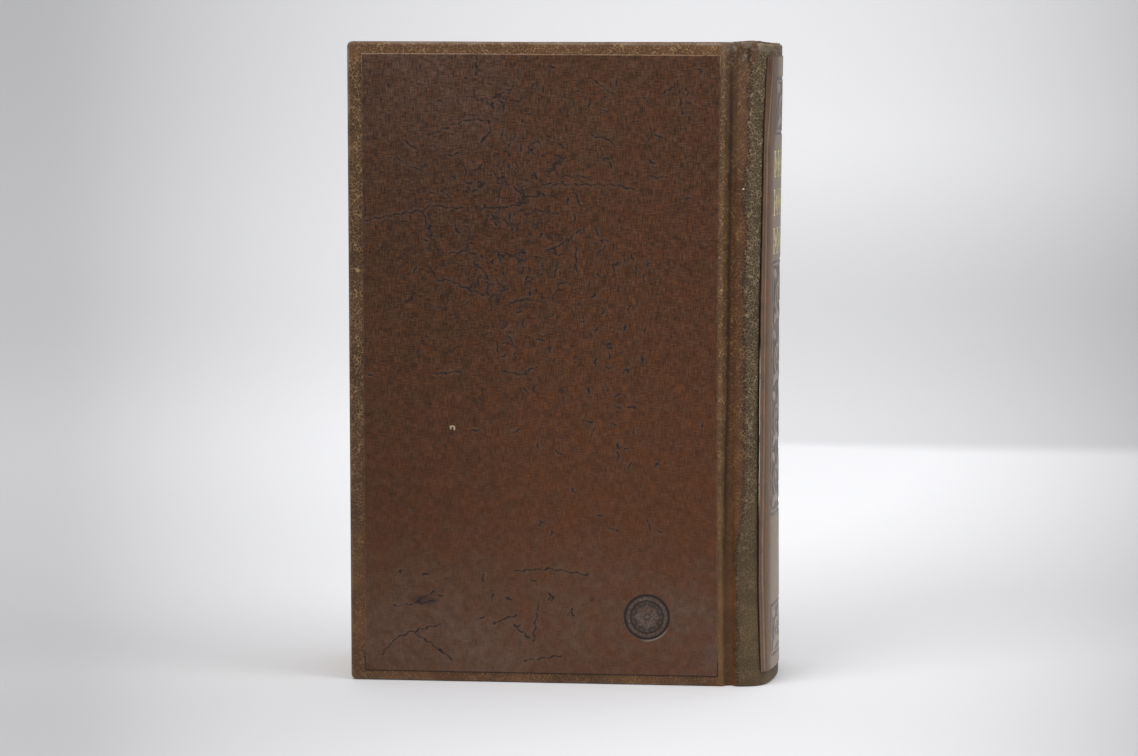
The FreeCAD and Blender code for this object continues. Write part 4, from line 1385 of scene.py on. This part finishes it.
def buildGilt(name):
    # rows of bars with lozenges between them, in gold leaf on the face of the spine panel
    sheets = newSheets()
    size = giltRow
    behind = (spineCrown - 40 * mm, 0.0, bookHead / 2)

    def lay(arcs, heights):
        x, y, nx, ny = onRound(arcs * mm, 0.0)
        points = asPoints(x + nx * size["proud"], y + ny * size["proud"], heights * mm)
        addGrid(sheets, points, asPoints(arcs, heights) * mm, behind)

    def layBlock(centre, foot, wide, tall):
        across = np.linspace(centre - wide / 2, centre + wide / 2, 5)
        lay(*np.meshgrid(across, np.linspace(foot, foot + tall, 7)))

    for low, high in giltRows:
        bottom, top = low[2] / mm, high[2] / mm
        middle, tall = (bottom + top) / 2, top - bottom
        for number in range(size["bars"]):
            centre = (number - (size["bars"] - 1) / 2) * size["pitch"]
            layBlock(centre, bottom, size["footWidth"], size["footHeight"])
            layBlock(centre, top - size["footHeight"], size["footWidth"], size["footHeight"])
            layBlock(centre, bottom + size["footHeight"], size["barWidth"], tall - 2 * size["footHeight"])
        for number in range(size["bars"] - 1):
            centre = (number - (size["bars"] - 2) / 2) * size["pitch"]
            for width, height, inner in (
                (size["lozengeWidth"], tall * 0.62, 0.55), (1.2, tall * 0.2, 0.0)
            ):
                turns = np.linspace(0, 2 * math.pi, 9)
                corners = np.stack([np.cos(turns), np.sin(turns)])
                corners /= np.abs(corners).sum(axis=0)
                scales = np.array([[1.0], [inner]])
                lay(centre + corners[0] * width / 2 * scales, middle + corners[1] * height / 2 * scales)
    return buildPiece(sheets, name, [goldLeaf], sharp=60, shape=settle)


panel = buildSpinePanel("spineSmoothPanel")
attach(panel, "book_block")
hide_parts("spine_panel")
gilt = buildGilt("spineGilding")
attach(gilt, "book_block")
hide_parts("spine_gilt_upper_row", "spine_gilt_middle_row", "spine_gilt_lower_row")
print("spine panel made")


# leaves, bands and endpapers

leaves = {
    "count": 220,
    "roundRadius": 46 * mm,
    "headRagged": 0.10 * mm,
    "foreRagged": 0.16 * mm,
    "flare": 1.25 * mm,
    "shoulder": 9 * mm,
}


def buildLeaves(name):
    # the stack of leaves, each ending a little differently at head, tail and fore edge
    low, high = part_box("text_block")
    count = leaves["count"]
    ys = np.linspace(-leavesFace, leavesFace, count)
    radius = leaves["roundRadius"]
    backCentre = high[0] - radius
    sag = radius - np.sqrt(radius**2 - ys**2)
    foreLimit = radius - math.sqrt(radius**2 - leavesFace**2)
    rag = np.array([(wobble(y * 900, 3.0), wobble(y * 900, 9.0), wobble(y * 900, 14.0)) for y in ys])
    finer = [(wobble(y * 4000, 30.0), wobble(y * 4000, 50.0), wobble(y * 4000, 70.0)) for y in ys]
    rag += np.array(finer) * 0.7
    fore = low[0] + foreLimit - sag + np.abs(rag[:, 0]) * leaves["foreRagged"]
    backX = backCentre + np.sqrt(radius**2 - (ys * (1 + leaves["flare"] / leavesFace)) ** 2)
    tail = low[2] + np.abs(rag[:, 1]) * leaves["headRagged"]
    head = high[2] - np.abs(rag[:, 2]) * leaves["headRagged"]
    shares = np.linspace(0, 1, 40)
    x = fore[:, None] + (backX - fore)[:, None] * shares
    out = (ys / leavesFace)[:, None]
    flare = smoothStep(high[0] - 8 * mm - leaves["shoulder"], high[0] - 8 * mm, x) * out
    y = ys[:, None] + flare * np.abs(out) * leaves["flare"]
    inside = (0.0, 0.0, bookHead / 2)
    sheets = newSheets()
    for level in (tail, head):
        addGrid(sheets, asPoints(x, y, level[:, None]), asPoints(y, x), inside)
    heights = np.linspace(0, 1, 24)
    z = tail[:, None] + (head - tail)[:, None] * heights
    drift = np.array([[wobble(level * 7, yy * 130, 4.0) for level in heights] for yy in ys]) * 0.12 * mm
    edge = asPoints(fore[:, None] + np.abs(drift) * np.sin(math.pi * heights), ys[:, None], z)
    back = asPoints(backX[:, None], y[:, -1:], z)
    for sheet in (edge, back):
        addGrid(sheets, sheet, asPoints(ys[:, None], z), inside)
    for row in (0, -1):
        sideHeights = tail[row] + (head[row] - tail[row]) * heights
        flat = asPoints(x[row][:, None], y[row][:, None], sideHeights)
        addGrid(sheets, flat, flat[..., [1, 2]] * [0.02, 1], inside)
    return buildPiece(sheets, name, [leafEdges], sharp=30)


def buildBand(name, node, up):
    # silk wound over a core, one rib for each turn of thread, with its cloth tab behind the leaves
    size = bandSize
    low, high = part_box(node)
    radius = size["roundRadius"]
    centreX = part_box("text_block")[1][0] - radius
    rollRadius = radius + 0.45 * mm - size["rollRadius"]
    halfAngle = math.asin(high[1] / rollRadius)
    # the bands sit a little inside their room, below the rim of the spine's leather
    inset = size["rollRadius"] + size["below"]
    middle = (high[2] - inset) if up else (low[2] + inset)
    ribs = int(2 * halfAngle * rollRadius / size["threadPitch"])
    angles = np.linspace(-halfAngle, halfAngle, ribs * 5 + 1)
    phase = np.abs(np.sin(np.linspace(0, ribs * math.pi, ribs * 5 + 1)))
    turns = np.linspace(0, 2 * math.pi, 15)
    bulge = size["rollRadius"] * (0.86 + 0.13 * phase)
    radial = rollRadius + np.outer(bulge, np.cos(turns))
    across, aside = radial * np.cos(angles)[:, None], radial * np.sin(angles)[:, None]
    points = asPoints(centreX + across, aside, middle + np.outer(bulge, np.sin(turns)))
    uvs = asPoints((angles * rollRadius)[:, None], np.outer(bulge, turns))
    sheets = newSheets()
    addGrid(sheets, points, uvs, (centreX + rollRadius, 0.0, middle))
    tabEnd = low[2] if up else high[2]
    tabAngles = np.linspace(-halfAngle, halfAngle, 40)
    tab = []
    for depth, z in ((0.06, middle), (0.4, middle), (0.4, tabEnd), (0.06, tabEnd)):
        reach = radius + depth * mm
        tab.append(asPoints(centreX + reach * np.cos(tabAngles), reach * np.sin(tabAngles), z))
    tabMap = [asPoints(tabAngles * radius, row[0][2]) for row in tab]
    addGrid(sheets, np.array(tab), np.array(tabMap), (centreX, 0.0, (middle + tabEnd) / 2), 1)
    return buildPiece(sheets, name, [bandThread, mullCloth], sharp=70)


def buildPastedown(name, node, side):
    # the sheet glued inside the cover, which runs on across the joint to the first leaf
    low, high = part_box(node)
    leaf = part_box(node.replace("pastedown", "flyleaf"))
    inner = min(abs(low[1]), abs(high[1]))
    thick = 0.18 * mm
    rootX = leaf[1][0] - 0.3 * mm
    rootY = max(abs(leaf[0][1]), abs(leaf[1][1])) + 0.04 * mm
    window = (foreEdge + binding["turnIn"], low[2] + 12 * mm, high[2] - 12 * mm)
    nearEdge = np.linspace(-1, 1, 7) * mm
    flatPlaces = np.unique(np.concatenate([np.linspace(low[0], high[0], 60), window[0] + nearEdge]))
    xs = np.concatenate([flatPlaces, np.linspace(high[0], rootX, 26)[1:]])
    zs = [np.linspace(low[2], high[2], 70), window[1] + nearEdge, window[2] + nearEdge]
    x, z = np.meshgrid(xs, np.unique(np.concatenate(zs)))
    # the paper dips a little where no leather is folded under it
    dip = smoothStep(-0.7 * mm, 0.7 * mm, x - window[0])
    dip *= smoothStep(-0.7 * mm, 0.7 * mm, z - window[1]) * smoothStep(-0.7 * mm, 0.7 * mm, window[2] - z)
    fold = smoothStep(high[0] - 1 * mm, rootX, x)
    outward = inner + 0.22 * mm * dip * (1 - fold) + (rootY - inner) * fold
    face = asPoints(x, side * outward, z)
    back = asPoints(x, side * (outward + thick), z)
    uv = asPoints(x, z)
    behind = (0.0, side * (inner + 20 * mm), bookHead / 2)
    sheets = newSheets()
    addGrid(sheets, face, uv, behind)
    addGrid(sheets, back, uv, (0.0, side * (inner - 20 * mm), bookHead / 2))
    middle = (0.0, side * inner, bookHead / 2)
    for pick in (np.s_[0], np.s_[-1], np.s_[:, 0], np.s_[:, -1]):
        mapped = np.stack([uv[pick], uv[pick] + 0.0002])
        addGrid(sheets, np.stack([face[pick], back[pick]]), mapped, middle)
    piece = buildPiece(sheets, name, [endpaper], sharp=50)
    "back_cover" if side < 0 else "front_cover"
    side * inner
    side * inner
    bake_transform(piece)
    return piece


stack = buildLeaves("leafStack")
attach(stack, "book_block")
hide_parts("text_block")
for name, node, up in (("headBandSewn", "head_band", True), ("tailBandSewn", "tail_band", False)):
    band = buildBand(name, node, up)
    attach(band, "book_block")
    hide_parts(node)
for name, side in (("back", -1), ("front", 1)):
    sheet = buildPastedown(f"{name}PastedownSheet", f"{name}_pastedown", side)
    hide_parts(f"{name}_pastedown")
print("leaves, bands and endpapers made")


# finishes for the CAD nodes that stay

keptNodes = {
    "front_flyleaf": endpaper,
    "back_flyleaf": endpaper,
    "spine_mull": mullCloth,
    "spine_liner": linerPaper,
    "spine_stiffener": spineCard,
    "front_board": millboard,
    "back_board": millboard,
    "front_mull_flap": mullCloth,
    "back_mull_flap": mullCloth,
}
for node, material in keptNodes.items():
    piece = frame["nodes"][node]
    piece = bpy.data.objects[piece] if isinstance(piece, str) else piece
    for materialSlot in piece.material_slots:
        materialSlot.material = material
print("kept nodes finished")


# floor, backdrop, lights and camera

studio = {
    "pale": colour(252, 252, 254),
    "sweepStart": 0.75,
    "sweepRadius": 0.9,
    "halfWidth": 4.5,
    "front": -2.6,
    "height": 3.4,
    "world": 0.45,
    # the pool of light on the paper: it fans out from one place and is brightest along one line
    "fanPlace": (0.122, -1.25),
    "fanMiddle": -0.058,
    "fadeLeft": 10.5,
    "fadeRight": 19.0,
    "poolEdge": 0.6,
    "shadow": 0.22,
    "seenWorld": 0.82,
}


def makePaperSweep():
    # paper with a soft pool of light. Seen from behind it is clear, so that it never hides the book
    material, shader, _ = newMaterial("paperSweep")
    place = Signal(addNode(shader.id_data, "ShaderNodeTexCoord").outputs["Object"])
    x, y, z = axes(place)
    originX, originY = studio["fanPlace"]
    away = greatest(y - originY, 0.6)
    fan = (x - originX) / away
    offMiddle = fan - studio["fanMiddle"]
    onRight = calc("GREATER_THAN", offMiddle, 0.0)
    fade = calc("MULTIPLY_ADD", onRight, studio["fadeRight"] - studio["fadeLeft"], studio["fadeLeft"])
    pool = calc("SMOOTH_MAX", 1.0 - offMiddle * offMiddle * fade, studio["poolEdge"], 0.08)
    # painted light: the paper is brightest where it starts to rise and darker in front and up the sweep
    tone = spread(y, -0.15, 0.15, 0.9, 1.0)
    for low, high, change in ((0.15, 0.7, 0.12), (0.74, 1.08, -0.15), (1.08, 1.45, -0.12)):
        tone = tone + spread(y, low, high, 0.0, change)
    # where the paper starts to rise, its right part lies in a broad faint shadow
    shadow = (
        spread(fan, -0.11, -0.04) * spread(y, 0.64, 0.71) * spread(z, 0.17, 0.05, 0.0, studio["shadow"])
    )
    tone = tone * pool * (1.0 - shadow) * spread(grainNoise(place, 0.9, 1.0), 0.3, 0.7, 0.98, 1.0)
    join(shade(studio["pale"], least(tone, 1.0)), shader.inputs["Base Color"])
    shader.inputs["Roughness"].default_value = 0.9
    shader.inputs["Specular IOR Level"].default_value = 0.1
    fromBehind = Signal(addNode(shader.id_data, "ShaderNodeNewGeometry").outputs["Backfacing"])
    seen = Signal(addNode(shader.id_data, "ShaderNodeLightPath").outputs["Is Camera Ray"])
    join(1.0 - fromBehind * seen, shader.inputs["Alpha"])
    return material


def makeBackdrop():
    start, radius = studio["sweepStart"], studio["sweepRadius"]
    profile = [(studio["front"], 0.0), (0.0, 0.0), (start, 0.0)]
    turns = np.radians(np.linspace(0, 90, 20)[1:])
    profile += [(start + radius * math.sin(turn), radius * (1 - math.cos(turn))) for turn in turns]
    profile.append((start + radius, studio["height"]))
    across = np.linspace(-studio["halfWidth"], studio["halfWidth"], 9)
    points = np.array([[(x, y, z) for x in across] for y, z in profile])
    sheets = newSheets()
    addGrid(sheets, points, points[..., :2], (0.0, 2.4, -3.0))
    buildPiece(sheets, "paperSweep", [makePaperSweep()], sharp=80)


def addLamp(name, place, aim, size, power):
    lamp = bpy.data.lights.new(name, "AREA")
    lamp.shape = "RECTANGLE"
    lamp.size, lamp.size_y = size
    lamp.energy = power
    piece = bpy.data.objects.new(name, lamp)
    piece.location = place
    piece.rotation_euler = (Vector(aim) - Vector(place)).to_track_quat("-Z", "Y").to_euler()
    scene.collection.objects.link(piece)


makeBackdrop()
lamps = {
    "keyLamp": ((-1.2, -1.5, 1.5), (0.0, 0.0, 0.1), (1.6, 1.3), 22.0),
    "windowLamp": ((1.9, -0.6, 1.0), (0.0, 0.0, 0.12), (1.2, 1.4), 15.0),
    "topLamp": ((0.2, 0.1, 2.2), (0.0, 0.1, 0.0), (2.4, 2.0), 20.0),
}
for name, (place, aim, size, power) in lamps.items():
    addLamp(name, place, aim, size, power)
world = bpy.data.worlds.new("plainStudio")
world.use_nodes = True
background = world.node_tree.nodes["Background"].inputs
background["Color"].default_value = (0.98, 0.98, 1.0, 1.0)
# the camera sees it paler than it lights the book
seen = Signal(addNode(world.node_tree, "ShaderNodeLightPath").outputs["Is Camera Ray"])
strength = calc("MULTIPLY_ADD", seen, studio["seenWorld"] - studio["world"], studio["world"])
join(strength, background["Strength"])
scene.world = world

cameraView = {"place": (0.1222, -1.2505, 0.2485), "direction": (-0.097, 0.9894, -0.1078), "lens": 105.0}
cameraData = bpy.data.cameras.new("photoCamera")
cameraData.lens = cameraView["lens"]
cameraData.sensor_width = 36.0
camera = bpy.data.objects.new("photoCamera", cameraData)
camera.location = cameraView["place"]
camera.rotation_euler = Vector(cameraView["direction"]).to_track_quat("-Z", "Y").to_euler()
scene.collection.objects.link(camera)
scene.camera = camera
scene.view_settings.view_transform = "Standard"
print("studio made")
